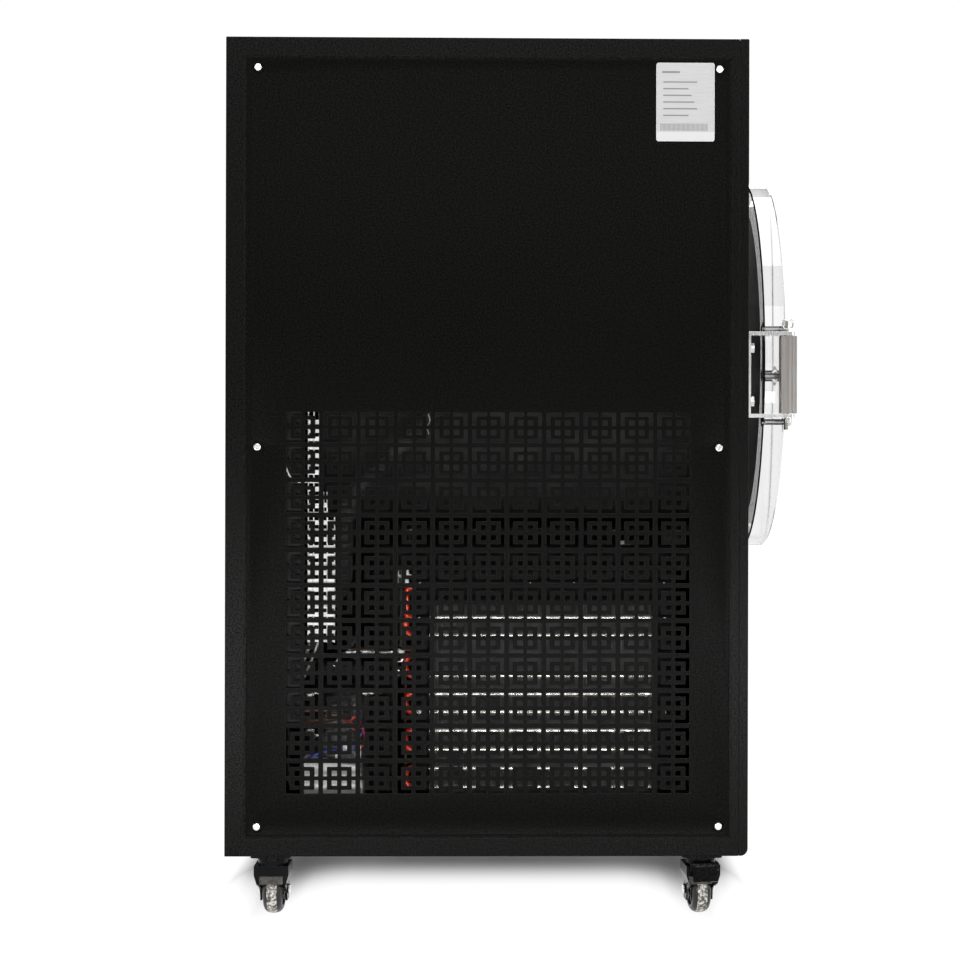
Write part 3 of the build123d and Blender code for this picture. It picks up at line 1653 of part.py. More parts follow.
hose_foot = pump_top + port_height
bellows_collar = 22.0
bellows_pitch = (port_drop - hose_foot - 2 * bellows_collar) / bellows_count
bellows_profile = [(bellows_radius, hose_foot), (bellows_radius, hose_foot + bellows_collar)]
for n in range(bellows_count):
    ridge_z = hose_foot + bellows_collar + (n + 0.5) * bellows_pitch
    bellows_profile.append((bellows_radius + bellows_ridge, ridge_z))
    bellows_profile.append((bellows_radius, ridge_z + bellows_pitch / 2))
bellows_profile.append((bellows_radius, port_drop))
bellows_bore = bellows_radius - 4.0

with BuildPart() as vacuum_hose:
    with BuildSketch(
        Plane(origin=(pump_x, pump_port_y, 0), x_dir=(1, 0, 0), z_dir=(0, -1, 0))
    ):
        with BuildLine():
            Polyline(
                (bellows_bore, hose_foot),
                *bellows_profile,
                (bellows_bore, port_drop),
                close=True,
            )
        make_face()
    revolve(axis=Axis((pump_x, pump_port_y, 0), (0, 0, 1)))
save(vacuum_hose.part, "vacuum_hose")

# ---------------------------------------------------------------- electrical parts

box_z0 = base_z + box_lift
box_x1 = post_x + post / 2
box_y0 = stand_y[1] + post / 2

with BuildPart() as control_box:
    with BuildSketch(Plane.XY.offset(box_z0)):
        with Locations((box_x1 - box_depth_x / 2, box_y0 + box_width_y / 2)):
            RectangleRounded(box_depth_x, box_width_y, box_corner_radius)
    extrude(amount=box_height)
    # joint of the lid
    with BuildSketch(side_plane(box_x1 - box_depth_x + box_lid_depth)):
        with Locations((box_y0 + box_width_y / 2, box_z0 + box_height / 2)):
            Rectangle(
                box_width_y + 2 * box_joint_depth, box_height + 2 * box_joint_depth
            )
            Rectangle(
                box_width_y - 2 * box_joint_depth,
                box_height - 2 * box_joint_depth,
                mode=Mode.SUBTRACT,
            )
    extrude(amount=box_lid_joint, mode=Mode.SUBTRACT)
save(control_box.part, "control_box")

duct_x0 = -half_width + duct_inset
duct_y1 = rear_y - 2 * sheet
duct_z0 = base_z + duct_lift
duct_mid_x = duct_x0 + duct_width_x / 2
duct_mid_y = duct_y1 - duct_width_y / 2

with BuildPart() as cable_duct:
    with BuildSketch(Plane.XY.offset(duct_z0)):
        with Locations((duct_mid_x, duct_mid_y)):
            Rectangle(duct_width_x, duct_width_y)
    extrude(amount=duct_height)
    with BuildSketch(Plane.XY.offset(duct_z0 + duct_wall)):
        with Locations((duct_mid_x, duct_mid_y)):
            Rectangle(duct_width_x - 2 * duct_wall, duct_width_y - 2 * duct_wall)
    extrude(amount=duct_height - 2 * duct_wall, mode=Mode.SUBTRACT)
    # wiring slots in the inner side
    with BuildSketch(side_plane(duct_x0 + duct_width_x)):
        with Locations((duct_mid_y, duct_z0 + duct_height / 2)):
            with GridLocations(
                1.0, finger_pitch, 1, int(duct_height / finger_pitch) - 2
            ):
                Rectangle(duct_width_y - 2 * finger_end, finger_slot)
    extrude(amount=-duct_wall, mode=Mode.SUBTRACT)
save(cable_duct.part, "cable_duct")

screen_z = top_z - screen_top_gap - screen_height / 2

with BuildPart() as control_screen:
    with BuildSketch(facing_front(front_y)):
        with Locations((0, screen_z)):
            RectangleRounded(screen_width, screen_height, screen_corner_radius)
    extrude(amount=screen_proud)
    fillet(
        control_screen.faces().sort_by(Axis.Y)[0].edges(), radius=screen_edge_round
    )
    with BuildSketch(facing_front(front_y + screen_body_depth)):
        with Locations((0, screen_z)):
            Rectangle(
                screen_width - 2 * screen_bezel - 2 * screen_gap,
                screen_height - 2 * screen_bezel - 2 * screen_gap,
            )
    extrude(amount=screen_body_depth)
    # the glass lies a little below the bezel
    with BuildSketch(facing_front(front_y - screen_proud + screen_glass_drop)):
        with Locations((0, screen_z)):
            Rectangle(
                screen_width - 2 * screen_bezel, screen_height - 2 * screen_bezel
            )
    extrude(amount=screen_glass_drop, mode=Mode.SUBTRACT)
save(control_screen.part, "control_screen")

socket_z = inlet_z - socket_drop
rocker_z = inlet_z + rocker_rise
rocker_pin_bore = 1.65
rocker_pin_length = 1.6
rocker_axis_y = rear_y + inlet_proud - 1.0
socket_width = 26.0
socket_height = 18.0
socket_depth = 17.0
blade_places = [(-7.0, -3.0), (7.0, -3.0), (0, 3.5)]
blade_sheet = 2.0
blade_width = 4.0
blade_set_back = 4.0  # behind the socket's mouth

with BuildPart() as power_inlet:
    with BuildSketch(facing_front(rear_y + inlet_proud)):
        with Locations((inlet_x, inlet_z)):
            RectangleRounded(inlet_width, inlet_height, 3.0)
    extrude(amount=inlet_proud)
    with BuildSketch(facing_front(rear_y)):
        with Locations((inlet_x, inlet_z)):
            Rectangle(
                inlet_width - 2 * inlet_flange - screen_gap,
                inlet_height - 2 * inlet_flange - screen_gap,
            )
    extrude(amount=inlet_depth)
    with BuildSketch(facing_front(rear_y + inlet_proud)):
        with Locations((inlet_x, socket_z)):
            RectangleRounded(socket_width, socket_height, 3.0)
    extrude(amount=socket_depth, mode=Mode.SUBTRACT)
    with BuildSketch(facing_front(rear_y + inlet_proud)):
        with Locations((inlet_x, rocker_z)):
            Rectangle(rocker_width + 2 * rocker_play, rocker_height + 4 * rocker_play)
    extrude(amount=rocker_depth + 2.0, mode=Mode.SUBTRACT)
    with BuildSketch(side_plane(inlet_x - rocker_width / 2 - rocker_play - rocker_pin_length)):
        with Locations((rocker_axis_y, rocker_z)):
            Circle(rocker_pin_bore)
    extrude(
        amount=rocker_width + 2 * rocker_play + 2 * rocker_pin_length,
        mode=Mode.SUBTRACT,
    )
save(power_inlet.part, "power_inlet")

with BuildPart() as inlet_blades:
    for blade_x, blade_z in blade_places:
        blade_foot = (
            inlet_x + blade_x,
            rear_y + inlet_proud - socket_depth,
            socket_z + blade_z,
        )
        with Locations(blade_foot):
            Box(
                blade_sheet,
                socket_depth - blade_set_back,
                blade_width,
                align=(Align.CENTER, Align.MIN, Align.CENTER),
            )
save(inlet_blades.part, "inlet_blades")

with BuildPart() as rocker_switch:
    rocker_plane = Plane(
        origin=(inlet_x - rocker_width / 2, rocker_axis_y, rocker_z),
        x_dir=(0, cos(radians(rocker_travel)), sin(radians(rocker_travel))),
        z_dir=(1, 0, 0),
    )
    with BuildSketch(rocker_plane):
        with BuildLine():
            Polyline(
                (2.0, -rocker_height / 2 + 1.0),
                (5.0, -rocker_height / 2 + 1.0),
                (1.5, 0),
                (5.0, rocker_height / 2 - 1.0),
                (2.0, rocker_height / 2 - 1.0),
                (-4.0, rocker_height / 4),
                (-4.0, -rocker_height / 4),
                close=True,
            )
        make_face()
    extrude(amount=rocker_width)
    with BuildSketch(side_plane(inlet_x - rocker_width / 2 - rocker_pin_length)):
        with Locations((rocker_axis_y, rocker_z)):
            Circle(rocker_pin_radius)
    extrude(amount=rocker_width + 2 * rocker_pin_length)
save(rocker_switch.part, "rocker_switch")

# leads from the compressor's terminal cover up into the duct
lead_x = duct_mid_x + lead_shift
lead_z = cover_z0 + lead_rise
cover_y1 = cover_y0 + cover_width
leads = []
for n in range(2):
    drop = n * lead_pitch_z
    reach = duct_y1 - duct_width_y + lead_first + n * lead_pitch_y
    leads.append(
        pipe(
            [
                (lead_x, cover_y1, lead_z - drop),
                (lead_x, reach, lead_z - drop),
                (lead_x, reach, duct_z0),
            ],
            lead_radius,
            lead_bend,
        )
    )
save(Compound(children=leads), "wiring_leads")

# ---------------------------------------------------------------- drain

drain_line = pipe(
    [
        (0, drain_y, drain_drop),
        (0, drain_y, valve_z),
        (0, rear_y, valve_z),
    ],
    drain_radius,
    drain_bend,
)
save(drain_line, "drain_pipe")

valve_y = rear_y + valve_length / 2
shoulder_z = valve_z + valve_radius + valve_shoulder

with BuildPart() as drain_valve:
    with BuildSketch(facing_front(rear_y + valve_length)):
        with Locations((0, valve_z)):
            Circle(drain_radius)
    extrude(amount=valve_length)
    with BuildSketch(facing_front(rear_y + valve_length - valve_outlet)):
        with Locations((0, valve_z)):
            Circle(valve_radius)
    extrude(amount=valve_length - valve_outlet - valve_nut)
    with BuildSketch(facing_front(rear_y + valve_nut)):
        with Locations((0, valve_z)):
            RegularPolygon(valve_radius + valve_nut_extra, 6)
    extrude(amount=valve_nut)
    with BuildSketch(Plane.XY.offset(valve_z)):
        with Locations((0, valve_y)):
            Circle(valve_cap_radius)
    extrude(amount=shoulder_z - valve_z)
    with BuildSketch(Plane.XY.offset(shoulder_z)):
        with Locations((0, valve_y)):
            Circle(valve_stem_radius)
    extrude(amount=lever_thickness + 2 * lever_gap)
    with BuildSketch(Plane.XY.offset(shoulder_z + lever_thickness + 2 * lever_gap)):
        with Locations((0, valve_y)):
            RegularPolygon(valve_cap_radius, 6)
    extrude(amount=valve_nut)
    with BuildSketch(facing_front(rear_y + valve_length)):
        with Locations((0, valve_z)):
            Circle(drain_radius - port_wall)
    extrude(amount=valve_length / 2 - valve_radius, mode=Mode.SUBTRACT)
save(drain_valve.part, "drain_valve")

with BuildPart() as drain_lever:
    with BuildSketch(Plane.XY.offset(shoulder_z + lever_gap)):
        with Locations((lever_length / 2, valve_y)):
            SlotCenterToCenter(lever_length, lever_width)
        with Locations((0, valve_y)):
            Circle(valve_cap_radius + 1.0)
            Circle(valve_stem_bore, mode=Mode.SUBTRACT)
    extrude(amount=lever_thickness)
save(drain_lever.part, "drain_lever")

# ---------------------------------------------------------------- casters

caster_x = half_width - caster_inset_x
caster_front_y = front_y + caster_inset_y
caster_rear_y = rear_y - caster_inset_y
# place and heading: the wheel trails towards the middle of the machine
casters = {
    "fl": (-caster_x, caster_front_y, front_caster_turn),
    "fr": (caster_x, caster_front_y, 180.0 - front_caster_turn),
    "rl": (-caster_x, caster_rear_y, 0.0),
    "rr": (caster_x, caster_rear_y, 180.0),
}
plate_bottom = base_z - caster_plate_thickness
cup_bottom = plate_bottom - caster_cup_height
fork_under = 2 * wheel_radius + fork_head_gap
fork_top = fork_under + fork_sheet
kingpin_foot = fork_under - swivel_gap - kingpin_head_height


def caster_plane(name, forward, across, height):
    """A plane across a caster's rolling direction, placed from its kingpin."""
    x, y, turn = casters[name]
    along = Vector(cos(radians(turn)), sin(radians(turn)), 0)
    aside = Vector(-sin(radians(turn)), cos(radians(turn)), 0)
    origin = Vector(x, y, height) + along * forward + aside * across
    return Plane(origin=origin, x_dir=aside, z_dir=along)


def caster_side_plane(name, across):
    """A plane along a caster's rolling direction: its own x is forward, its own y is up."""
    base = caster_plane(name, 0, across, 0)
    return Plane(origin=base.origin, x_dir=base.z_dir, z_dir=-base.x_dir)


plates = []
for x, y, turn in casters.values():
    with BuildPart(mode=Mode.PRIVATE) as caster_plate:
        with BuildSketch(Plane.XY.offset(plate_bottom)):
            with Locations((x, y)):
                RectangleRounded(caster_plate_size, caster_plate_size, 4.0)
        extrude(amount=caster_plate_thickness)
        with BuildSketch(Plane.XY.offset(cup_bottom)):
            with Locations((x, y)):
                Circle(caster_cup_radius)
        extrude(amount=caster_cup_height)
        with BuildSketch(Plane.XY.offset(kingpin_foot)):
            with Locations((x, y)):
                Circle(kingpin_radius)
        extrude(amount=cup_bottom - kingpin_foot)
        with BuildSketch(Plane.XY.offset(kingpin_foot)):
            with Locations((x, y)):
                Circle(kingpin_head_radius)
        extrude(amount=kingpin_head_height)
    plates.append(caster_plate.part)
save(Compound(children=plates), "caster_plates")

outer_top = fork_width / 2
outer_foot = fork_foot_width / 2
rod_half = pedal_width / 2 + pedal_side_gap + pedal_lug
hub_half = outer_foot - fork_sheet - hub_end_gap

for name in casters:
    caster_at, caster_y = casters[name][:2]
    with BuildPart() as caster_fork:
        with BuildSketch(caster_plane(name, -fork_front, 0, 0)):
            with BuildLine():
                Polyline(
                    (-outer_foot, fork_foot_z),
                    (-outer_foot, fork_waist_z),
                    (-outer_top, fork_shoulder_z),
                    (-outer_top, fork_top),
                    (outer_top, fork_top),
                    (outer_top, fork_shoulder_z),
                    (outer_foot, fork_waist_z),
                    (outer_foot, fork_foot_z),
                    (outer_foot - fork_sheet, fork_foot_z),
                    (outer_foot - fork_sheet, fork_waist_z),
                    (outer_top - fork_sheet, fork_shoulder_z),
                    (outer_top - fork_sheet, fork_under),
                    (-(outer_top - fork_sheet), fork_under),
                    (-(outer_top - fork_sheet), fork_shoulder_z),
                    (-(outer_foot - fork_sheet), fork_waist_z),
                    (-(outer_foot - fork_sheet), fork_foot_z),
                    close=True,
                )
            make_face()
        extrude(amount=fork_front + caster_trail + fork_foot_half)
        with BuildSketch(caster_side_plane(name, 0)):
            with BuildLine():
                Polyline(
                    (-fork_front, fork_top),
                    (race_radius, fork_top),
                    (caster_trail + fork_foot_half, wheel_radius),
                    (caster_trail + fork_foot_half - 3.0, fork_foot_z),
                    (caster_trail - fork_foot_half + 3.0, fork_foot_z),
                    (caster_trail - fork_foot_half, wheel_radius),
                    (-fork_front, fork_web_foot_z),
                    close=True,
                )
            make_face()
        extrude(amount=outer_top, both=True, mode=Mode.INTERSECT)
        # web across the front, with a rivet
        web_half = outer_foot - fork_sheet
        with BuildSketch(caster_plane(name, -fork_front, 0, 0)):
            with BuildLine():
                Polyline(
                    (-web_half, fork_web_foot_z),
                    (web_half, fork_web_foot_z),
                    (outer_top - fork_sheet, fork_shoulder_z),
                    (outer_top - fork_sheet, fork_top),
                    (-(outer_top - fork_sheet), fork_top),
                    (-(outer_top - fork_sheet), fork_shoulder_z),
                    close=True,
                )
            make_face()
        extrude(amount=fork_sheet)
        with BuildSketch(caster_plane(name, -fork_front - rivet_rise, 0, fork_shoulder_z - rivet_drop)):
            Circle(rivet_radius)
        extrude(amount=rivet_rise)
        with BuildSketch(Plane.XY.offset(fork_top)):
            with Locations((caster_at, caster_y)):
                Circle(race_radius)
        extrude(amount=cup_bottom - swivel_gap - fork_top)
        with BuildSketch(Plane.XY.offset(fork_under)):
            with Locations((caster_at, caster_y)):
                Circle(kingpin_bore)
        extrude(amount=cup_bottom - fork_under, mode=Mode.SUBTRACT)
        # axle with its head and nut
        with BuildSketch(caster_side_plane(name, 0)):
            with Locations((caster_trail, wheel_radius)):
                Circle(axle_radius)
        extrude(amount=outer_foot, both=True)
        for hand in (-1, 1):
            with BuildSketch(caster_side_plane(name, hand * outer_foot)):
                with Locations((caster_trail, wheel_radius)):
                    RegularPolygon(axle_head_radius, 6)
            extrude(amount=-hand * axle_head_height)
        if name in ("fl", "fr"):
            # rod and lugs that carry the brake pedal
            with BuildSketch(caster_side_plane(name, 0)):
                with Locations((-pedal_rod_out, pedal_rod_z)):
                    Circle(pedal_rod_radius)
            extrude(amount=rod_half, both=True)
            for hand in (-1, 1):
                with BuildSketch(caster_side_plane(name, hand * rod_half)):
                    with BuildLine():
                        Polyline(
                            (-pedal_rod_out - pedal_lug_half, pedal_rod_z - pedal_lug_half),
                            (-fork_front + fork_sheet, fork_shoulder_z),
                            (-fork_front + fork_sheet, pedal_rod_z + 2.5),
                            (-fork_front, pedal_rod_z + pedal_lug_half),
                            (-pedal_rod_out - pedal_lug_half, pedal_rod_z + pedal_lug_half),
                            close=True,
                        )
                    make_face()
                extrude(amount=hand * pedal_lug)
    save(caster_fork.part, f"caster_fork_{name}")

    with BuildPart() as caster_wheel:
        with BuildSketch(caster_side_plane(name, -wheel_width / 2)):
            with Locations((caster_trail, wheel_radius)):
                Circle(wheel_radius)
        extrude(amount=-wheel_width)
        fillet(caster_wheel.edges().filter_by(GeomType.CIRCLE), radius=wheel_crown)
        for hand in (-1, 1):
            with BuildSketch(caster_side_plane(name, hand * wheel_width / 2)):
                with Locations((caster_trail, wheel_radius)):
                    Circle(wheel_dish_radius)
            extrude(amount=hand * wheel_dish_depth, mode=Mode.SUBTRACT)
        with BuildSketch(caster_side_plane(name, 0)):
            with Locations((caster_trail, wheel_radius)):
                Circle(hub_radius)
        extrude(amount=hub_half, both=True)
        with BuildSketch(caster_side_plane(name, 0)):
            with Locations((caster_trail, wheel_radius)):
                Circle(axle_bore)
        extrude(amount=hub_half, both=True, mode=Mode.SUBTRACT)
    save(caster_wheel.part, f"caster_wheel_{name}")

for name in ("fl", "fr"):
    with BuildPart() as caster_brake:
        slope = sqrt(pedal_tip_out**2 + pedal_tip_drop**2)
        aside_out = pedal_sheet * pedal_tip_drop / slope
        aside_up = pedal_sheet * pedal_tip_out / slope
        with BuildSketch(caster_side_plane(name, 0)):
            with Locations((-pedal_rod_out, pedal_rod_z)):
                Circle(pedal_barrel_radius)
            with BuildLine():
                Polyline(
                    (-pedal_rod_out - pedal_barrel_radius + 0.5, pedal_rod_z),
                    (-pedal_rod_out - pedal_tip_out, pedal_rod_z - pedal_tip_drop),
                    (
                        -pedal_rod_out - pedal_tip_out + aside_out,
                        pedal_rod_z - pedal_tip_drop - aside_up,
                    ),
                    (-pedal_rod_out, pedal_rod_z - pedal_barrel_radius + 0.5),
                    close=True,
                )
            make_face()
            with Locations((-pedal_rod_out, pedal_rod_z)):
                Circle(pedal_bore, mode=Mode.SUBTRACT)
        extrude(amount=pedal_width / 2, both=True)
    save(caster_brake.part, f"caster_brake_{name}")
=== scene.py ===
"""Freeze dryer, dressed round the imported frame. Metres; +Z is up, the door faces -Y, hinge side is -X."""

import json
import random
from math import atan2, cos, pi, radians, sin, sqrt

import bmesh
import bpy
from mathutils import Matrix, Vector


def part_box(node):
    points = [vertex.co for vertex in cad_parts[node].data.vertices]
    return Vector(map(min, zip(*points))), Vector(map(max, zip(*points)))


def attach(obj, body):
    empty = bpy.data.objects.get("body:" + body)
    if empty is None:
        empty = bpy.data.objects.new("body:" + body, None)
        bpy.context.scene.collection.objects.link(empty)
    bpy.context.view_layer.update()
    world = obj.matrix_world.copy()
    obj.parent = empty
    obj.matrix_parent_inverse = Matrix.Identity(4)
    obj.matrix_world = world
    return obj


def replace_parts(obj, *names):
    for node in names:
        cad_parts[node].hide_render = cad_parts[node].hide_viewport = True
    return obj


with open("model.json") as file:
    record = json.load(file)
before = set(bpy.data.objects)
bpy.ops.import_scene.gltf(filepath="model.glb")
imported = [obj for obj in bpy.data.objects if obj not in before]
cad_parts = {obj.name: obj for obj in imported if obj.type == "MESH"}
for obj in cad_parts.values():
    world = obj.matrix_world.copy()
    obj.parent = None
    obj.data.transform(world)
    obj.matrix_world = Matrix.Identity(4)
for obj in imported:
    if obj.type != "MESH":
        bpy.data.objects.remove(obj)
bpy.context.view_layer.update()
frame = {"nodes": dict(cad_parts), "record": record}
scene = bpy.context.scene
MM = 0.001

# ---- camera

CAMERA_LENS = 65.42
CAMERA_PLACE = (-2.634, -0.0396, 0.6667)
CAMERA_YAW = -90.8
CAMERA_ROLL = 0.13
CAMERA_SHIFT = (-0.085, -0.06)
SENSOR_WIDTH = 36.0
CLIP_END = 200.0

camera_data = bpy.data.cameras.new("camera")
camera_data.lens = CAMERA_LENS
camera_data.sensor_width = SENSOR_WIDTH
camera_data.shift_x, camera_data.shift_y = CAMERA_SHIFT
camera_data.clip_end = CLIP_END
camera = bpy.data.objects.new("camera", camera_data)
scene.collection.objects.link(camera)
camera.matrix_world = (
    Matrix.Translation(CAMERA_PLACE)
    @ Matrix.Rotation(radians(CAMERA_YAW), 4, "Z")
    @ Matrix.Rotation(radians(90.0), 4, "X")
    @ Matrix.Rotation(radians(CAMERA_ROLL), 4, "Z")
)
scene.camera = camera
scene.view_settings.view_transform = "Standard"

# ---- node helpers


BEVEL_SAMPLES = 4
EDGE_LOW, EDGE_HIGH = 0.02, 0.22  # how far the rounded normal leans where an edge begins and where it is full
MIX_SHARE, MIX_FIRST, MIX_SECOND, MIX_RESULT = 0, 6, 7, 2  # a colour mix's sockets
SHADER_INPUTS = {
    "colour": "Base Color", "metallic": "Metallic", "roughness": "Roughness", "ior": "IOR",
    "specular": "Specular IOR Level", "coat": "Coat Weight", "coat_roughness": "Coat Roughness",
    "transmission": "Transmission Weight", "normal": "Normal",
}


def grey(level):
    return (level, level, level)


def shade(colour, factor):
    """The same colour made darker or brighter, as far as white."""
    return tuple(min(1.0, c * factor) for c in colour)


class Graph:
    """A material's node tree, with short calls for the nodes used here."""

    def __init__(self, name):
        self.material = bpy.data.materials.new(name)
        self.material.use_nodes = True
        self.nodes = self.material.node_tree.nodes
        self.shader = next(n for n in self.nodes if n.type == "BSDF_PRINCIPLED")
        self.output = next(n for n in self.nodes if n.type == "OUTPUT_MATERIAL")

    def link(self, a, b):
        self.material.node_tree.links.new(a, b)

    def feed(self, socket, value):
        """Sets a level or a colour on a socket, or links another node's output to it."""
        if isinstance(value, (int, float)):
            socket.default_value = value
        elif isinstance(value, tuple):
            socket.default_value = (*value, 1.0)
        else:
            self.link(value, socket)

    def add(self, kind, **inputs):
        """A new shader node with some of its inputs fed."""
        node = self.nodes.new("ShaderNode" + kind)
        for key, value in inputs.items():
            self.feed(node.inputs[key], value)
        return node

    def place(self):
        return self.add("TexCoord").outputs["Object"]

    def axes(self):
        """The object's own X, Y and Z as separate values."""
        return self.add("SeparateXYZ", Vector=self.place()).outputs

    def coords(self, scale=(1.0, 1.0, 1.0)):
        mapping = self.add("Mapping", Vector=self.place())
        mapping.inputs["Scale"].default_value = scale
        return mapping.outputs["Vector"]

    def noise(self, scale, detail=3.0, rough=0.55, vector=None):
        vector = vector if vector is not None else self.coords()
        return self.add("TexNoise", Scale=scale, Detail=detail, Roughness=rough, Vector=vector).outputs["Fac"]

    def ramp(self, value, *stops):
        """Colours or levels at rising places from 0 to 1."""
        node = self.add("ValToRGB", Fac=value)
        elements = node.color_ramp.elements
        elements.remove(elements[-1])
        elements[0].position = stops[0][0]
        for index, (place, level) in enumerate(stops):
            element = elements.new(place) if index else elements[0]
            element.color = (*(level if isinstance(level, tuple) else grey(level)), 1.0)
        return node.outputs["Color"]

    def math(self, what, *values, clamp=False):
        node = self.add("Math")
        node.operation = what
        node.use_clamp = clamp
        for socket, value in zip(node.inputs, values):
            self.feed(socket, value)
        return node.outputs["Value"]

    def times(self, a, b):
        return self.math("MULTIPLY", a, b)

    def mix(self, share, a, b):
        node = self.add("Mix")
        node.data_type = "RGBA"
        for socket, value in ((MIX_SHARE, share), (MIX_FIRST, a), (MIX_SECOND, b)):
            self.feed(node.inputs[socket], value)
        return node.outputs[MIX_RESULT]

    def soft_edges(self, radius):
        bevel = self.add("Bevel", Radius=radius)
        bevel.samples = BEVEL_SAMPLES
        return bevel.outputs["Normal"]

    def edge(self, radius):
        """About 1 on convex and concave edges and 0 on flats."""
        dot = self.add("VectorMath")
        dot.operation = "DOT_PRODUCT"
        self.link(self.soft_edges(radius), dot.inputs[0])
        self.link(self.add("NewGeometry").outputs["Normal"], dot.inputs[1])
        away = self.math("SUBTRACT", 1.0, dot.outputs["Value"], clamp=True)
        return self.ramp(away, (EDGE_LOW, 0.0), (EDGE_HIGH, 1.0))

    def bump(self, height, distance, strength, normal=None):
        node = self.add("Bump", Height=height, Distance=distance, Strength=strength)
        if normal is not None:
            self.link(normal, node.inputs["Normal"])
        return node.outputs["Normal"]

    def set(self, **values):
        """Feeds the shader's inputs and gives the material back."""
        for key, value in values.items():
            self.feed(self.shader.inputs[SHADER_INPUTS[key]], value)
        return self.material


def painted(name, colour, worn, roughness=0.46, grain=900.0, grain_depth=0.00004, patch=5.0, specular=0.5,
            edge_radius=0.0012, edge_wear_and_highlight=0.7, speckle=0.25):
    """Powder coat or enamel: orange peel, faint cloudiness in tone and gloss, paler edges that are partly rubbed
    paint and partly a painted highlight.
    """
    g = Graph(name)
    cloud = g.noise(patch, 4.0)
    fine = g.noise(grain, 2.0)
    spots = g.noise(patch * 17.0, 3.0)
    base = g.ramp(cloud, (0.3, shade(colour, 0.86)), (0.72, colour))
    speck = g.ramp(fine, (0.35, 0.0), (0.75, 1.0))
    base = g.mix(g.times(speck, speckle), base, shade(colour, 1.9))
    # the paler edge colour is partly rubbed paint and partly a painted highlight along the edges
    mask = g.edge(edge_radius)
    mask = g.times(mask, g.ramp(spots, (0.3, edge_wear_and_highlight * 0.35), (0.7, edge_wear_and_highlight)))
    base = g.mix(mask, base, worn)
    level = g.ramp(cloud, (0.25, roughness * 0.9), (0.75, min(1.0, roughness * 1.12)))
    level = g.mix(mask, level, grey(roughness * 0.75))
    gloss = g.ramp(fine, (0.32, specular * 0.35), (0.68, min(1.0, specular * 1.8)))
    return g.set(colour=base, roughness=level, specular=gloss,
                 normal=g.bump(fine, grain_depth, 0.6, g.soft_edges(edge_radius)))


def metal(name, colour, dark, roughness=0.28, stretch=(1.0, 1.0, 1.0), grain=260.0, depth=0.00003,
          edge_radius=0.0006, stain=0.5, patch=18.0, contrast=0.82):
    """Bare metal: rolled or brushed lines along one axis, dull stains, brighter edges."""
    g = Graph(name)
    lines = g.noise(grain, 4.0, 0.6, g.coords(stretch))
    cloud = g.noise(patch, 5.0, 0.6)
    base = g.ramp(lines, (0.3, shade(colour, contrast)), (0.7, colour))
    base = g.mix(g.ramp(cloud, (0.42, 0.0), (0.75, stain)), base, dark)
    mask = g.edge(edge_radius)
    base = g.mix(g.times(mask, 0.45), base, shade(colour, 1.25))
    level = g.ramp(lines, (0.2, roughness * 0.8), (0.8, min(1.0, roughness * 1.35)))
    level = g.mix(g.ramp(cloud, (0.45, 0.0), (0.8, 0.6)), level, grey(min(1.0, roughness * 1.7)))
    return g.set(colour=base, roughness=level, metallic=1.0,
                 normal=g.bump(lines, depth, 0.5, g.soft_edges(edge_radius)))


def moulded(name, colour, worn, roughness=0.5, grain=700.0, depth=0.00003, dust=0.25, edge_radius=0.0007,
            dusty=(0.32, 0.31, 0.29), patch=24.0, specular=0.5):
    """Moulded plastic or rubber: fine grain, dust in patches, polished edges."""
    g = Graph(name)
    fine = g.noise(grain, 2.0)
    cloud = g.noise(patch, 5.0, 0.6)
    base = g.ramp(fine, (0.3, shade(colour, 0.88)), (0.7, colour))
    base = g.mix(g.ramp(cloud, (0.45, 0.0), (0.8, dust)), base, dusty)
    mask = g.edge(edge_radius)
    base = g.mix(g.times(mask, 0.5), base, worn)
    level = g.ramp(cloud, (0.3, roughness * 0.9), (0.75, min(1.0, roughness * 1.25)))
    level = g.mix(g.times(mask, 0.6), level, grey(roughness * 0.7))
    return g.set(colour=base, roughness=level, specular=specular,
                 normal=g.bump(fine, depth, 0.5, g.soft_edges(edge_radius)))


# ---- materials

BLACK = (0.0024, 0.0024, 0.0022)
# paler edge colour for black paint: partly worn paint, partly a painted highlight along the edges
BLACK_EDGE_WEAR_AND_HIGHLIGHT = (0.03, 0.03, 0.029)

cabinet_paint = painted(
    "cabinet_paint", BLACK, BLACK_EDGE_WEAR_AND_HIGHLIGHT, roughness=0.34, specular=0.055, grain=430.0, grain_depth=0.0001,
    speckle=0.8)
# the panel's paler edge colour is a painted highlight along its rims and the corners of its holes
panel_paint = painted(
    "panel_paint", (0.0022, 0.0022, 0.002), (0.045, 0.045, 0.043), roughness=0.36, specular=0.026,
    patch=3.2, grain=430.0, grain_depth=0.0001, speckle=0.8)
frame_paint = painted("frame_paint", grey(0.0045), BLACK_EDGE_WEAR_AND_HIGHLIGHT, roughness=0.5, specular=0.06, patch=9.0)
zinc = metal(
    "zinc", (0.86, 0.87, 0.88), (0.55, 0.54, 0.5), roughness=0.2, grain=900.0, stain=0.3,
    edge_radius=0.0003)
stainless = metal(
    "stainless", (0.66, 0.66, 0.65), (0.42, 0.41, 0.4), roughness=0.26, stretch=(1.0, 1.0, 0.08),
    grain=900.0)
stainless_turned = metal(
    "stainless_turned", (0.68, 0.68, 0.67), (0.45, 0.44, 0.43), roughness=0.22, stretch=(0.15, 1.0, 0.15),
    grain=1400.0)
stainless_sheet = metal(
    "stainless_sheet", (0.64, 0.64, 0.63), (0.44, 0.44, 0.43), roughness=0.3, stretch=(1.0, 0.05, 1.0),
    grain=700.0)
galvanised = metal("galvanised", (0.2, 0.2, 0.205), grey(0.1), roughness=0.42, grain=90.0, stain=0.6)
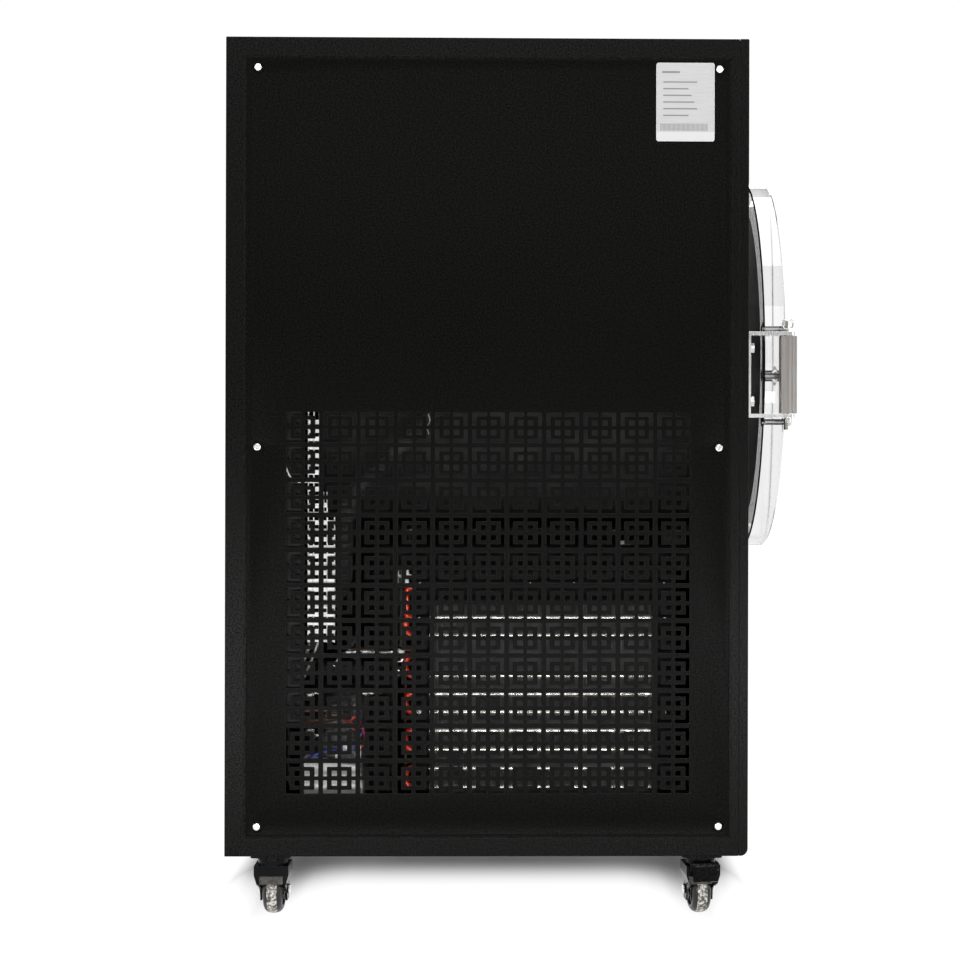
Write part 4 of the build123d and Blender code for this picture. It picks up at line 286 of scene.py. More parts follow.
tube_bright = metal(
    "tube_bright", (0.9, 0.88, 0.84), (0.62, 0.56, 0.48), roughness=0.16, stretch=(1.0, 0.05, 1.0),
    grain=700.0, stain=0.35)
copper = metal(
    "copper", (0.78, 0.4, 0.26), (0.4, 0.18, 0.1), roughness=0.24, grain=500.0, patch=40.0)
copper_dull = metal(
    "copper_dull", (0.15, 0.075, 0.05), (0.06, 0.035, 0.028), roughness=0.4, grain=500.0, stain=0.8,
    patch=40.0)
duct_plastic = moulded(
    "duct_plastic", grey(0.005), grey(0.02), roughness=0.55, dust=0.08, dusty=grey(0.03), specular=0.2)
cover_plastic = moulded(
    "cover_plastic", (0.9, 0.9, 0.88), (0.96, 0.96, 0.95), dust=0.55,
    dusty=(0.5, 0.49, 0.47), patch=60.0)
leaf_metal = metal(
    "leaf_metal", (0.34, 0.33, 0.32), (0.13, 0.095, 0.07), roughness=0.34, stretch=(1.0, 1.0, 0.006),
    grain=330.0, patch=7.0, contrast=0.5)
brass = metal("brass", (0.8, 0.6, 0.28), (0.42, 0.28, 0.12), roughness=0.25, grain=500.0, patch=60.0)
black_enamel = painted(
    "black_enamel", (0.012, 0.012, 0.013), grey(0.06), roughness=0.28, grain=240.0, grain_depth=0.00008,
    patch=12.0)
foam = moulded(
    "foam_rubber", (0.02, 0.02, 0.021), grey(0.05), roughness=0.85, grain=420.0, depth=0.0003, dust=0.15)
seal = moulded("seal_rubber", grey(0.007), grey(0.03), grain=500.0, dust=0.06, specular=0.2)
black_plastic = moulded("black_plastic", (0.018, 0.018, 0.019), grey(0.07), roughness=0.42)
grey_plastic = moulded(
    "grey_plastic", (0.42, 0.43, 0.43), grey(0.6), roughness=0.45, dust=0.35, dusty=(0.25, 0.25, 0.24))
mount_rubber = moulded("mount_rubber", grey(0.02), grey(0.06), roughness=0.75)
# the paler edge colour is partly worn paint and partly a painted highlight on the glossy edges
caster_black = painted(
    "caster_black", grey(0.0025), (0.07, 0.065, 0.06), roughness=0.16, grain=260.0, grain_depth=0.00001,
    patch=30.0, edge_radius=0.0004, edge_wear_and_highlight=0.3, specular=0.1)
fin_metal = metal("fin_metal", grey(0.48), grey(0.13), roughness=0.5, grain=60.0, stain=0.8)
pump_paint = painted(
    "pump_paint", (0.07, 0.1, 0.16), (0.2, 0.22, 0.26), roughness=0.4, grain=300.0, grain_depth=0.0001,
    patch=14.0)


def acrylic_material():
    g = Graph("acrylic")
    smear = g.noise(9.0, 4.0)
    fine = g.noise(160.0, 3.0)
    level = g.ramp(smear, (0.35, 0.012), (0.75, 0.05))
    tint = g.ramp(smear, (0.3, grey(0.86)), (0.8, grey(0.76)))
    rim = g.edge(0.0022)
    tint = g.mix(g.times(rim, 0.75), tint, grey(0.6))
    return g.set(colour=tint, roughness=level, ior=1.49, transmission=1.0,
                 normal=g.bump(fine, 0.00001, 0.25))


def screen_material():
    g = Graph("screen_glass")
    smear = g.noise(22.0, 4.0)
    base = g.ramp(smear, (0.3, (0.006, 0.006, 0.008)), (0.8, (0.014, 0.014, 0.017)))
    mask = g.edge(0.001)
    base = g.mix(g.times(mask, 0.5), base, (0.08, 0.08, 0.085))
    return g.set(colour=base, roughness=g.ramp(smear, (0.3, 0.06), (0.8, 0.14)), coat=0.6, coat_roughness=0.05,
                 normal=g.bump(smear, 0.00003, 0.3))


PLATE_LINES, PLATE_LINE_FOOT, PLATE_LINE_PITCH, PLATE_LINE_HALF = 6, 0.33, 0.085, 0.006  # shares of its height
PLATE_HEADING = (0.872, 0.892)
PLATE_TICK_BAND = (0.135, 0.225)
PLATE_TICKS = 46.0
PLATE_FOOT = 0.115


def plate_material():
    """Satin silver plate with plain ruled lines and an even row of ticks, and nothing written."""
    g = Graph("plate_silver")
    low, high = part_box("data_plate")
    axes = g.axes()
    across = g.math("DIVIDE", g.math("SUBTRACT", high.y, axes["Y"]), high.y - low.y)
    up = g.math("DIVIDE", g.math("SUBTRACT", axes["Z"], low.z), high.z - low.z)

    def band(value, start, end, soft=0.004):
        rise = g.ramp(value, (max(0.0, start - soft), 0.0), (start, 1.0))
        fall = g.ramp(value, (end, 1.0), (min(1.0, end + soft), 0.0))
        return g.times(rise, fall)

    marks = g.times(band(up, *PLATE_HEADING), band(across, 0.1, 0.4))
    for row in range(PLATE_LINES):
        centre = PLATE_LINE_FOOT + row * PLATE_LINE_PITCH
        line = g.times(band(up, centre - PLATE_LINE_HALF, centre + PLATE_LINE_HALF),
                      band(across, 0.12, 0.55 + 0.05 * ((row * 3) % 4)))
        marks = g.math("MAXIMUM", marks, line)
    combs = g.math("PINGPONG", g.times(across, PLATE_TICKS), 0.5)
    ticks = g.times(g.ramp(combs, (0.22, 0.0), (0.3, 1.0)),
                   g.times(band(up, *PLATE_TICK_BAND), band(across, 0.07, 0.88)))
    marks = g.math("MAXIMUM", marks, ticks)
    lines = g.noise(700.0, 3.0, 0.6, g.coords((1.0, 0.06, 1.0)))
    base = g.ramp(lines, (0.25, grey(0.375)), (0.8, grey(0.445)))
    base = g.mix(band(up, 0.0, PLATE_FOOT, 0.01), base, grey(0.5))
    base = g.mix(g.times(marks, 0.72), base, (0.06, 0.06, 0.065))
    # near-white line along the plate's edge: a painted highlight
    rim = g.edge(0.0009)
    base = g.mix(g.times(rim, 0.8), base, grey(0.95))
    return g.set(colour=base, roughness=g.ramp(lines, (0.2, 0.34), (0.8, 0.46)), metallic=0.15,
                 normal=g.bump(lines, 0.00001, 0.4))


def wheel_material():
    g = Graph("wheel_tread")
    cloud = g.noise(240.0, 4.0, 0.6)
    fine = g.noise(900.0, 2.0)
    base = g.ramp(cloud, (0.36, (0.02, 0.019, 0.017)), (0.48, (0.11, 0.105, 0.095)),
                  (0.62, (0.5, 0.48, 0.44)))
    return g.set(colour=base, roughness=g.ramp(cloud, (0.3, 0.3), (0.8, 0.5)), specular=0.5,
                 normal=g.bump(fine, 0.00004, 0.4))


def condenser_tube_material():
    """Bright tubes between the end plates, and bare reddened copper outside them."""
    g = Graph("condenser_tube")
    lines = g.noise(500.0, 3.0, 0.6, g.coords((1.0, 0.08, 1.0)))
    cloud = g.noise(60.0, 5.0, 0.6)
    past_fins = g.math("SUBTRACT", g.axes()["Y"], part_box("condenser_fins")[1].y)
    outside = g.ramp(g.times(past_fins, 100.0), (0.1, 0.0), (0.3, 1.0))
    bright = g.ramp(cloud, (0.35, (0.9, 0.88, 0.84)), (0.7, (0.5, 0.47, 0.42)))
    red = g.ramp(cloud, (0.3, (0.95, 0.12, 0.05)), (0.55, (0.8, 0.05, 0.02)),
                 (0.8, (0.4, 0.03, 0.02)))
    base = g.mix(outside, bright, red)
    mask = g.edge(0.0006)
    base = g.mix(g.times(mask, 0.3), base, (0.9, 0.8, 0.7))
    return g.set(colour=base, metallic=g.ramp(outside, (0.0, 1.0), (1.0, 0.25)),
                 roughness=g.ramp(lines, (0.2, 0.14), (0.8, 0.3)), normal=g.bump(lines, 0.00002, 0.5))


FORK_RAMP = 10.0  # brings the lengths below under 1; each is where a change begins and ends, in metres
AXLE_OUT, AXLE_TOP = (0.0193, 0.0197), (0.0405, 0.0415)
# how far from the wheel's middle and how high the plate above the wheel is painted lighter, as painted light
PAINTED_LIGHT_WEB_OUT, PAINTED_LIGHT_WEB_TOP = (0.0155, 0.016), (0.056, 0.0575)


def fork_material(corner):
    """Black enamel, the plate above the wheel painted a lighter grey-brown as painted light, and the bare zinc of the
    axle's two ends outside the fork's legs.
    """
    g = Graph("caster_fork_" + corner)
    low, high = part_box("caster_wheel_" + corner)
    axes = g.axes()
    out = g.math("ABSOLUTE", g.math("SUBTRACT", axes["Y"], (low.y + high.y) / 2))

    def change(value, span, before, after):
        start, end = span[0] * FORK_RAMP, span[1] * FORK_RAMP
        return g.ramp(g.times(value, FORK_RAMP), (start, before), (end, after))

    ends = g.times(change(out, AXLE_OUT, 0.0, 1.0), change(axes["Z"], AXLE_TOP, 1.0, 0.0))
    # the plate above the wheel, painted a lighter grey-brown as painted light where light falls on it
    painted_light_web = g.times(change(out, PAINTED_LIGHT_WEB_OUT, 1.0, 0.0), change(axes["Z"], PAINTED_LIGHT_WEB_TOP, 1.0, 0.0))
    cloud = g.noise(30.0, 4.0)
    fine = g.noise(260.0, 2.0)
    base = g.ramp(cloud, (0.3, grey(0.002)), (0.72, grey(0.0028)))
    # paler edges: partly worn paint, partly a painted highlight
    base = g.mix(g.times(g.edge(0.0004), 0.3), base, (0.07, 0.065, 0.06))
    base = g.mix(painted_light_web, base, g.ramp(fine, (0.3, (0.035, 0.032, 0.03)), (0.7, (0.075, 0.07, 0.066))))
    base = g.mix(ends, base, (0.85, 0.85, 0.84))
    return g.set(colour=base, metallic=g.times(ends, 0.6),
                 roughness=g.ramp(cloud, (0.3, 0.14), (0.75, 0.2)), specular=g.ramp(ends, (0.0, 0.1), (1.0, 0.5)),
                 normal=g.bump(fine, 0.00001, 0.3, g.soft_edges(0.0005)))


acrylic = acrylic_material()
condenser_tube = condenser_tube_material()
screen_glass = screen_material()
plate_silver = plate_material()
wheel_tread = wheel_material()
wheel_side = moulded(
    "wheel_side", (0.01, 0.0098, 0.0094), (0.05, 0.047, 0.043), roughness=0.3, dust=0.25,
    dusty=(0.04, 0.038, 0.035), specular=0.3)
trunk_plastic = moulded(
    "trunk_plastic", (0.88, 0.88, 0.87), (0.95, 0.95, 0.94), roughness=0.45, dust=0.2,
    dusty=(0.6, 0.6, 0.58), patch=60.0)
tube_white = moulded(
    "tube_white", (0.42, 0.42, 0.41), grey(0.7), roughness=0.25, dust=0.3, dusty=(0.2, 0.2, 0.19),
    patch=80.0)
wire_blue = moulded("wire_blue", (0.02, 0.05, 0.42), (0.1, 0.16, 0.6), roughness=0.35, dust=0.1)
wire_red = moulded("wire_red", (0.5, 0.02, 0.015), (0.7, 0.1, 0.08), roughness=0.35, dust=0.1)
hose_cover = moulded("hose_cover", grey(0.018), grey(0.05), roughness=0.7, grain=300.0, depth=0.0004, dust=0.2)

# ---- CAD nodes and their finishes

FINISHES = (
    (cabinet_paint, "cabinet_frame front_fascia"),
    (panel_paint, "side_panel_left side_panel_right rear_panel"),
    (frame_paint, "base_frame"),
    (zinc, "panel_screws"),
    (plate_silver, "data_plate"),
    (screen_glass, "control_screen"),
    (brass, "inlet_blades drain_valve"),
    (grey_plastic, "control_box"),
    (black_plastic, "power_inlet door_handle rocker_switch fan_blade"),
    (duct_plastic, "cable_duct filter_drier wiring_leads"),
    (stainless_sheet, "chamber_drum shelf_rack tray_1 tray_2 tray_3"),
    (stainless_turned, "chamber_flange chamber_head hinge_bracket_bolts hinge_pin latch_post latch_lever "
                       "door_clamp_bolts vacuum_hose drain_pipe"),
    (stainless, "chamber_ports hinge_bracket drain_lever"),
    (foam, "chamber_insulation"),
    (seal, "door_gasket"),
    (acrylic, "door_disc"),
    (leaf_metal, "hinge_leaf"),
    (copper, "evaporator_coil"),
    (copper_dull, "liquid_line discharge_line"),
    (hose_cover, "suction_hose"),
    (black_enamel, "compressor_shell fan_shroud fan_motor"),
    (cover_plastic, "compressor_terminal_cover"),
    (mount_rubber, "compressor_mounts"),
    (fin_metal, "condenser_fins"),
    (condenser_tube, "condenser_tubes"),
    (galvanised, "condenser_frame"),
    (pump_paint, "vacuum_pump"),
    (caster_black, "caster_plates caster_brake_fl caster_brake_fr"),
    (wheel_side, "caster_wheel_fl caster_wheel_fr caster_wheel_rl caster_wheel_rr"),
)
CORNERS = ("fl", "fr", "rl", "rr")
FORKS = tuple((fork_material(corner), "caster_fork_" + corner) for corner in CORNERS)

for finish, nodes in FINISHES + FORKS:
    for node in nodes.split():
        held = frame["nodes"][node].data
        held.materials.clear()
        held.materials.append(finish)
        for face in held.polygons:
            face.material_index = 0

BODY_OF = {node: body for body, members in frame["record"]["behaviour"]["bodies"].items() for node in members}

# ---- mesh helpers


def piece(name, mesh, finish, body, smooth=35.0):
    """A named piece of the object with its finish, riding on its body."""
    made = bpy.data.objects.new(name, mesh)
    mesh.name = name
    scene.collection.objects.link(made)
    for one in finish if isinstance(finish, tuple) else (finish,):
        mesh.materials.append(one)
    if smooth:
        mesh.set_sharp_from_angle(angle=radians(smooth))
        for face in mesh.polygons:
            face.use_smooth = True
    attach(made, body)
    return made


def mesh_from(vertices, faces, weld=None, indices=None):
    mesh = bpy.data.meshes.new("mesh")
    mesh.from_pydata([tuple(v) for v in vertices], [], faces)
    if indices is not None:
        mesh.polygons.foreach_set("material_index", indices)
    shape = bmesh.new()
    shape.from_mesh(mesh)
    if weld:
        bmesh.ops.remove_doubles(shape, verts=shape.verts, dist=weld)
    bmesh.ops.recalc_face_normals(shape, faces=shape.faces)
    shape.to_mesh(mesh)
    shape.free()
    mesh.update()
    return mesh


def circle_loop(centre, radius, steps=40):
    return [Vector((centre[0] + radius * cos(2 * pi * i / steps), centre[1] + radius * sin(2 * pi * i / steps)))
            for i in range(steps)]


def lathe(profile, turns, groups=None):
    """Revolves (radius, height) points about local Z into vertices and faces; groups gives each band's slot."""
    vertices, rings, faces, indices = [], [], [], []
    for radius, height in profile:
        count = turns if radius else 1
        rings.append(range(len(vertices), len(vertices) + count))
        vertices += [Vector((p.x, p.y, height)) for p in circle_loop((0.0, 0.0), radius, count)]
    for band, (low, high) in enumerate(zip(rings, rings[1:])):
        for step in range(turns):
            after = (step + 1) % turns
            if len(low) == 1:
                faces.append((low[0], high[step], high[after]))
            elif len(high) == 1:
                faces.append((low[step], low[after], high[0]))
            else:
                faces.append((low[step], low[after], high[after], high[step]))
            indices.append(groups[band] if groups else 0)
    return vertices, faces, indices


def join_parts(parts):
    """Several (vertices, faces, indices) joined into one."""
    vertices, faces, indices = [], [], []
    for some_vertices, some_faces, some_indices in parts:
        base = len(vertices)
        vertices.extend(some_vertices)
        faces.extend(tuple(base + i for i in face) for face in some_faces)
        indices.extend(some_indices if some_indices else [0] * len(some_faces))
    return vertices, faces, indices


def moved(part, matrix):
    vertices, faces, indices = part
    return [matrix @ v for v in vertices], faces, indices


# ---- side panels with their full lattice

LATTICE_COUNT = 11
PITCH_Y, PITCH_Z = 49.6, 46.9
CELL_Y, CELL_Z = 43.2, 40.7
SLOT = 5.1
ARM_Y, ARM_Z = 19.2, 17.8
ANGLE_HOLE = ((0, 0), (ARM_Y, 0), (ARM_Y, SLOT), (SLOT, SLOT), (SLOT, ARM_Z), (0, ARM_Z))
SQUARE_HOLE = ((11.4, 10.2), (18.6, 10.2), (18.6, 17.4), (11.4, 17.4))
LATTICE_RISE = 57.7
HOLE_ROUND = 0.9
PANEL_ROUND = 1.1
DIMPLE_OUTER, DIMPLE_FLOOR, DIMPLE_INNER = 8.8, 6.9, 5.4
DIMPLE_DEPTH = 0.9
SCREW_BORE = 2.7
SCREW_Y, SCREW_Z = 15.0, 13.5
RIM_STEPS = 5
DIMPLE = ((DIMPLE_OUTER, 0.0), (DIMPLE_OUTER - 0.5, -0.12), (DIMPLE_FLOOR + 0.6, -DIMPLE_DEPTH + 0.1),
          (DIMPLE_FLOOR, -DIMPLE_DEPTH), (DIMPLE_INNER + 0.7, -DIMPLE_DEPTH + 0.15), (DIMPLE_INNER, 0.0),
          (SCREW_BORE, 0.0))


def rounded_loop(points, radius, steps=2):
    """A closed polygon with its corners rounded."""
    result = []
    count = len(points)
    for i in range(count):
        before, here, after = Vector(points[i - 1]), Vector(points[i]), Vector(points[(i + 1) % count])
        into = (before - here).normalized() * radius
        out = (after - here).normalized() * radius
        for step in range(steps + 1):
            t = step / steps
            result.append(here + into * (1 - t) ** 2 + out * t ** 2)
    return result


def cell_holes(left, low):
    """The eight holes of one lattice cell, lower left corner given, in millimetres."""
    holes = []
    for mirror_y in (False, True):
        for mirror_z in (False, True):
            for hole in (ANGLE_HOLE, SQUARE_HOLE):
                points = [(left + (CELL_Y - y if mirror_y else y), low + (CELL_Z - z if mirror_z else z))
                          for y, z in hole]
                holes.append(rounded_loop(points, HOLE_ROUND))
    return holes


def filled(loops):
    """A flat mesh filled between an outer loop and holes, as (vertices, triangles), in the loops' plane."""
    curve = bpy.data.curves.new("fill", "CURVE")
    curve.dimensions = "2D"
    curve.fill_mode = "BOTH"
    for loop in loops:
        spline = curve.splines.new("POLY")
        spline.points.add(len(loop) - 1)
        for point, place in zip(spline.points, loop):
            point.co = (place[0], place[1], 0.0, 1.0)
        spline.use_cyclic_u = True
    holder = bpy.data.objects.new("fill", curve)
    scene.collection.objects.link(holder)
    bpy.context.view_layer.update()
    mesh = bpy.data.meshes.new_from_object(holder)
    vertices = [v.co.copy() for v in mesh.vertices]
    faces = [tuple(p.vertices) for p in mesh.polygons]
    bpy.data.objects.remove(holder)
    bpy.data.curves.remove(curve)
    bpy.data.meshes.remove(mesh)
    return vertices, faces


def strip(start, end, start_height, end_height):
    """Faces between two loops of as many points, each loop at its own height."""
    count = len(start)
    vertices = [Vector((p[0], p[1], start_height)) for p in start] + [Vector((p[0], p[1], end_height)) for p in end]
    faces = [(i, (i + 1) % count, count + (i + 1) % count, count + i) for i in range(count)]
    return vertices, faces, None


def lattice_panel(node, outward):
    """A side panel with all its holes, its rounded rim and a dimple round each screw."""
    low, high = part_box(node)
    thickness = (high.x - low.x) / MM
    y0, y1, z0, z1 = (v / MM for v in (low.y, high.y, low.z, high.z))
    mid_y = (y0 + y1) / 2
    field = (LATTICE_COUNT - 1) * PITCH_Y + CELL_Y
    holes = []
    for column in range(LATTICE_COUNT):
        for row in range(LATTICE_COUNT):
            holes += cell_holes(mid_y - field / 2 + column * PITCH_Y, z0 + LATTICE_RISE + row * PITCH_Z)
    screws = [(y, z) for y in (y0 + SCREW_Y, y1 - SCREW_Y) for z in (z0 + SCREW_Z, (z0 + z1) / 2, z1 - SCREW_Z)]

    def outline(inset):
        left, right, foot, top = y0 + inset, y1 - inset, z0 + inset, z1 - inset
        return [Vector(p) for p in ((left, foot), (right, foot), (right, top), (left, top))]

    parts = []
    for inset, radius, height in ((PANEL_ROUND, DIMPLE_OUTER, 0.0), (0.0, SCREW_BORE, -thickness)):
        flat, triangles = filled([outline(inset)] + holes + [circle_loop(s, radius) for s in screws])
        parts.append(([Vector((v.x, v.y, height)) for v in flat], triangles, None))
    for hole in holes:
        parts.append(strip(hole, hole, 0.0, -thickness))
    rim = []
    for step in range(RIM_STEPS + 1):
        angle = (pi / 2) * step / RIM_STEPS
        rim.append((PANEL_ROUND * (1 - sin(angle)), -PANEL_ROUND * (1 - cos(angle))))
    rim.append((0.0, -thickness))
    for (inset_a, z_a), (inset_b, z_b) in zip(rim, rim[1:]):
        parts.append(strip(outline(inset_a), outline(inset_b), z_a, z_b))
    dimple = DIMPLE + ((SCREW_BORE, -thickness),)
    for centre in screws:
        for (r_a, z_a), (r_b, z_b) in zip(dimple, dimple[1:]):
            parts.append(strip(circle_loop(centre, r_a), circle_loop(centre, r_b), z_a, z_b))
    vertices, faces, _ = join_parts(parts)
    face_x = low.x if outward < 0 else high.x
    placed = [Vector((face_x + outward * v.z * MM, v.x * MM, v.y * MM)) for v in vertices]
    mesh = mesh_from(placed, faces, weld=0.00001)
    made = piece(node + "_lattice", mesh, panel_paint, BODY_OF[node], smooth=50.0)
    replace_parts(made, node)


lattice_panel("side_panel_left", -1)
lattice_panel("side_panel_right", 1)

# ---- condenser fins

FIN_PITCH = 3.2
FIN_SHEET = 0.3
FIN_WAVE = 3.0
TUBE_ROWS = 11
ROW_PITCH = 25.6
TOP_ROW = 401.0
ROW_SHIFT = {1: 1.5, 3: -2.0, 4: -1.2}  # rows that stand a little off the even pitch
TUBE_HOLE = 4.95
TUBE_SLOT = 6.5
TUBE_ROW_IN = 11.0
COLLAR_STEPS = 8
FIN_FOLDS = 5
FIN_LEAN = 0.3


def row_height(n):
    """Height in millimetres of the condenser's n-th row of tubes from the top."""
    return TOP_ROW - n * ROW_PITCH + ROW_SHIFT.get(n, 0.0)


def fin_outline(depth, height, foot):
    """One fin's edge from the front, with a slot and a collar at each tube, in millimetres."""
    points = [(depth, 0.0), (0.0, 0.0)]
    opening = atan2(TUBE_SLOT / 2, sqrt(TUBE_HOLE ** 2 - (TUBE_SLOT / 2) ** 2))
    for row in range(TUBE_ROWS):
        z = row_height(TUBE_ROWS - 1 - row) - foot
        points.append((0.0, z - TUBE_SLOT / 2))
        for step in range(COLLAR_STEPS + 1):
            angle = pi + opening + 2 * (pi - opening) * step / COLLAR_STEPS
            points.append((TUBE_ROW_IN + TUBE_HOLE * cos(angle), z + TUBE_HOLE * sin(angle)))
        points.append((0.0, z + TUBE_SLOT / 2))
    points += [(0.0, height), (depth, height)]
    return points


def fin_stack():
    """The condenser's fins, each a thin folded sheet that leans a little its own way."""
    low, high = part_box("condenser_fins")
    depth, height = (high.x - low.x) / MM, (high.z - low.z) / MM
    flat, triangles = filled([[Vector(p) for p in fin_outline(depth, height, low.z / MM)]])
    sheet = bmesh.new()
    made = [sheet.verts.new((p.x, 0.0, p.y)) for p in flat]
    for triangle in triangles:
        sheet.faces.new([made[i] for i in triangle])
    for fold in range(1, FIN_FOLDS):
        bmesh.ops.bisect_plane(sheet, geom=sheet.verts[:] + sheet.edges[:] + sheet.faces[:], dist=1e-4,
                               plane_co=(depth * fold / FIN_FOLDS, 0.0, 0.0), plane_no=(1.0, 0.0, 0.0))
    sheet.verts.ensure_lookup_table()
    points = [v.co.copy() for v in sheet.verts]
    polygons = [tuple(v.index for v in face.verts) for face in sheet.faces]
    border = [tuple(v.index for v in edge.verts) for edge in sheet.edges if edge.is_boundary]
    sheet.free()

    def wave(x):
        return FIN_WAVE * (1 - abs(x / depth * FIN_FOLDS % 2 - 1))

    count = int((high.y - low.y) / MM / FIN_PITCH)
    start = low.y / MM + ((high.y - low.y) / MM - (count - 1) * FIN_PITCH - FIN_WAVE) / 2
    total = len(points)
    vertices, faces = [], []
    chance = random.Random(11)
    for index in range(count):
        y = start + index * FIN_PITCH
        lean = chance.uniform(-FIN_LEAN, FIN_LEAN)
        base = len(vertices)
        for side in (0.0, FIN_SHEET):
            for p in points:
                across = y + wave(p.x) + lean * (1 - p.x / depth) + side
                vertices.append((low.x + p.x * MM, across * MM, low.z + p.z * MM))
        faces += [tuple(base + i for i in polygon) for polygon in polygons]
        faces += [tuple(base + total + i for i in reversed(polygon)) for polygon in polygons]
        faces += [(base + a, base + b, base + total + b, base + total + a) for a, b in border]
    mesh = mesh_from(vertices, faces)
    made = piece("condenser_fin_stack", mesh, fin_metal, BODY_OF["condenser_fins"], smooth=0)
    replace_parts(made, "condenser_fins")


fin_stack()

# ---- condenser tubes and their covers

BEND_STEPS = 10
BEND_START = 21.0  # past the fins
BEND_REACH = 10.5
TUBE_RADIUS = 4.75
FRONT_PAST = 4.0
LINK_RADIUS, LINK_OUT, LINK_TOP = 4.0, 8.5, 441.0
SECOND_COLUMN = 3  # tubes that also show behind the first column
COVER_GAP, COVER_SHEET = 2.2, 1.2
COVER_FOOT, COVER_TOP = 124.0, 470.0
CAP_FOOT, CAP_TOP, CAP_SHEET = 421.0, 474.0, 1.2


def box_mm(node):
    """The two corners of a node's box, in millimetres."""
    return [[v / MM for v in corner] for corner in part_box(node)]


def swept(points, radius, sides=12, bend=0.0, steps=5):
    """A round bar along a path in millimetres, its corners rounded by the given bend."""
    path = [Vector(points[0])]
    for before, here, after in zip(points, points[1:], points[2:]):
        before, here, after = Vector(before), Vector(here), Vector(after)
        reach = min(bend, (before - here).length / 2, (after - here).length / 2)
        if reach < 0.01:
            path.append(here)
            continue
        start = here + (before - here).normalized() * reach
        stop = here + (after - here).normalized() * reach
        for step in range(steps + 1):
            t = step / steps
            path.append(start * (1 - t) ** 2 + here * 2 * t * (1 - t) + stop * t ** 2)
    path.append(Vector(points[-1]))
    normal = (path[1] - path[0]).orthogonal().normalized()
    vertices = []
    for i, place in enumerate(path):
        ahead = path[min(i + 1, len(path) - 1)] - path[max(i - 1, 0)]
        ahead.normalize()
        normal = (normal - ahead * normal.dot(ahead)).normalized()
        side = ahead.cross(normal)
        for step in range(sides):
            angle = 2 * pi * step / sides
            vertices.append((place + (normal * cos(angle) + side * sin(angle)) * radius) * MM)
    faces = []
    for i in range(len(path) - 1):
        for step in range(sides):
            after = (step + 1) % sides
            faces.append((i * sides + step, i * sides + after, (i + 1) * sides + after, (i + 1) * sides + step))
    faces.append(tuple(range(sides)))
    faces.append(tuple(range((len(path) - 1) * sides, len(path) * sides)))
    return vertices, faces, None


def block(low, high, edge=0.6, segments=2):
    """A block with rounded edges between two corners in millimetres."""
    shape = bmesh.new()
    bmesh.ops.create_cube(shape, size=1.0)
    middle = (Vector(low) + Vector(high)) / 2
    size = Vector(high) - Vector(low)
    for v in shape.verts:
        v.co = Vector((middle[i] + v.co[i] * size[i] for i in range(3)))
    bmesh.ops.bevel(shape, geom=shape.edges[:], offset=edge, segments=segments, affect="EDGES")
    shape.verts.ensure_lookup_table()
    vertices = [v.co * MM for v in shape.verts]
    faces = [tuple(v.index for v in face.verts) for face in shape.faces]
    shape.free()
    return vertices, faces, None


def screw_head(place, radius=3.4, height=1.6):
    """A small pan head facing -X with a round recess in its top, at a place in millimetres."""
    profile = [(0.0, 0.0), (radius, 0.0), (radius, height * 0.45), (radius * 0.8, height * 0.85),
               (radius * 0.35, height), (radius * 0.3, height * 0.6), (0.0, height * 0.55)]
    body = lathe([(r * MM, z * MM) for r, z in profile], 20)
    turn = Matrix.Translation(Vector(place) * MM) @ Matrix.Rotation(radians(-90.0), 4, "Y")
    return moved(body, turn)


def dressed(name, parts, finish):
    """A piece of the cabinet's body made of several parts."""
    vertices, faces, _ = join_parts(parts)
    return piece(name, mesh_from(vertices, faces), finish, "cabinet")


def tube_bank():
    """Straight tubes joined in turn by a U-bend at the rear and one at the front, and the link to the top."""
    (x0, y0, _), (_, y1, _) = box_mm("condenser_fins")
    x = x0 + TUBE_ROW_IN
    front, rear = y0 - FRONT_PAST, y1 + BEND_START
    rows = [row_height(n) for n in range(TUBE_ROWS)]
    parts = [swept([(x, front, z), (x, rear, z)], TUBE_RADIUS, 16) for z in rows]
    for n, (upper, lower) in enumerate(zip(rows, rows[1:])):
        y, out = (front, -1) if n % 2 else (rear, 1)
        arc = [(x, y, upper)]
        for step in range(1, BEND_STEPS):
            angle = pi * step / BEND_STEPS
            arc.append((x, y + out * BEND_REACH * sin(angle), (upper + lower) / 2 + (upper - lower) / 2 * cos(angle)))
        parts.append(swept(arc + [(x, y, lower)], TUBE_RADIUS, 16))
    parts.append(swept([(x, rear, rows[0]), (x, rear + LINK_OUT, rows[0]), (x, rear + LINK_OUT, LINK_TOP),
                        (x, rear - 2.0, LINK_TOP)], LINK_RADIUS, 14, 6.0))
    inner = box_mm("condenser_tubes")[1][0] - TUBE_RADIUS
    for z in rows[:SECOND_COLUMN]:
        parts.append(swept([(inner, front, z), (inner, rear, z)], TUBE_RADIUS, 12))
    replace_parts(dressed("condenser_tube_bank", parts, condenser_tube), "condenser_tubes")


tube_bank()


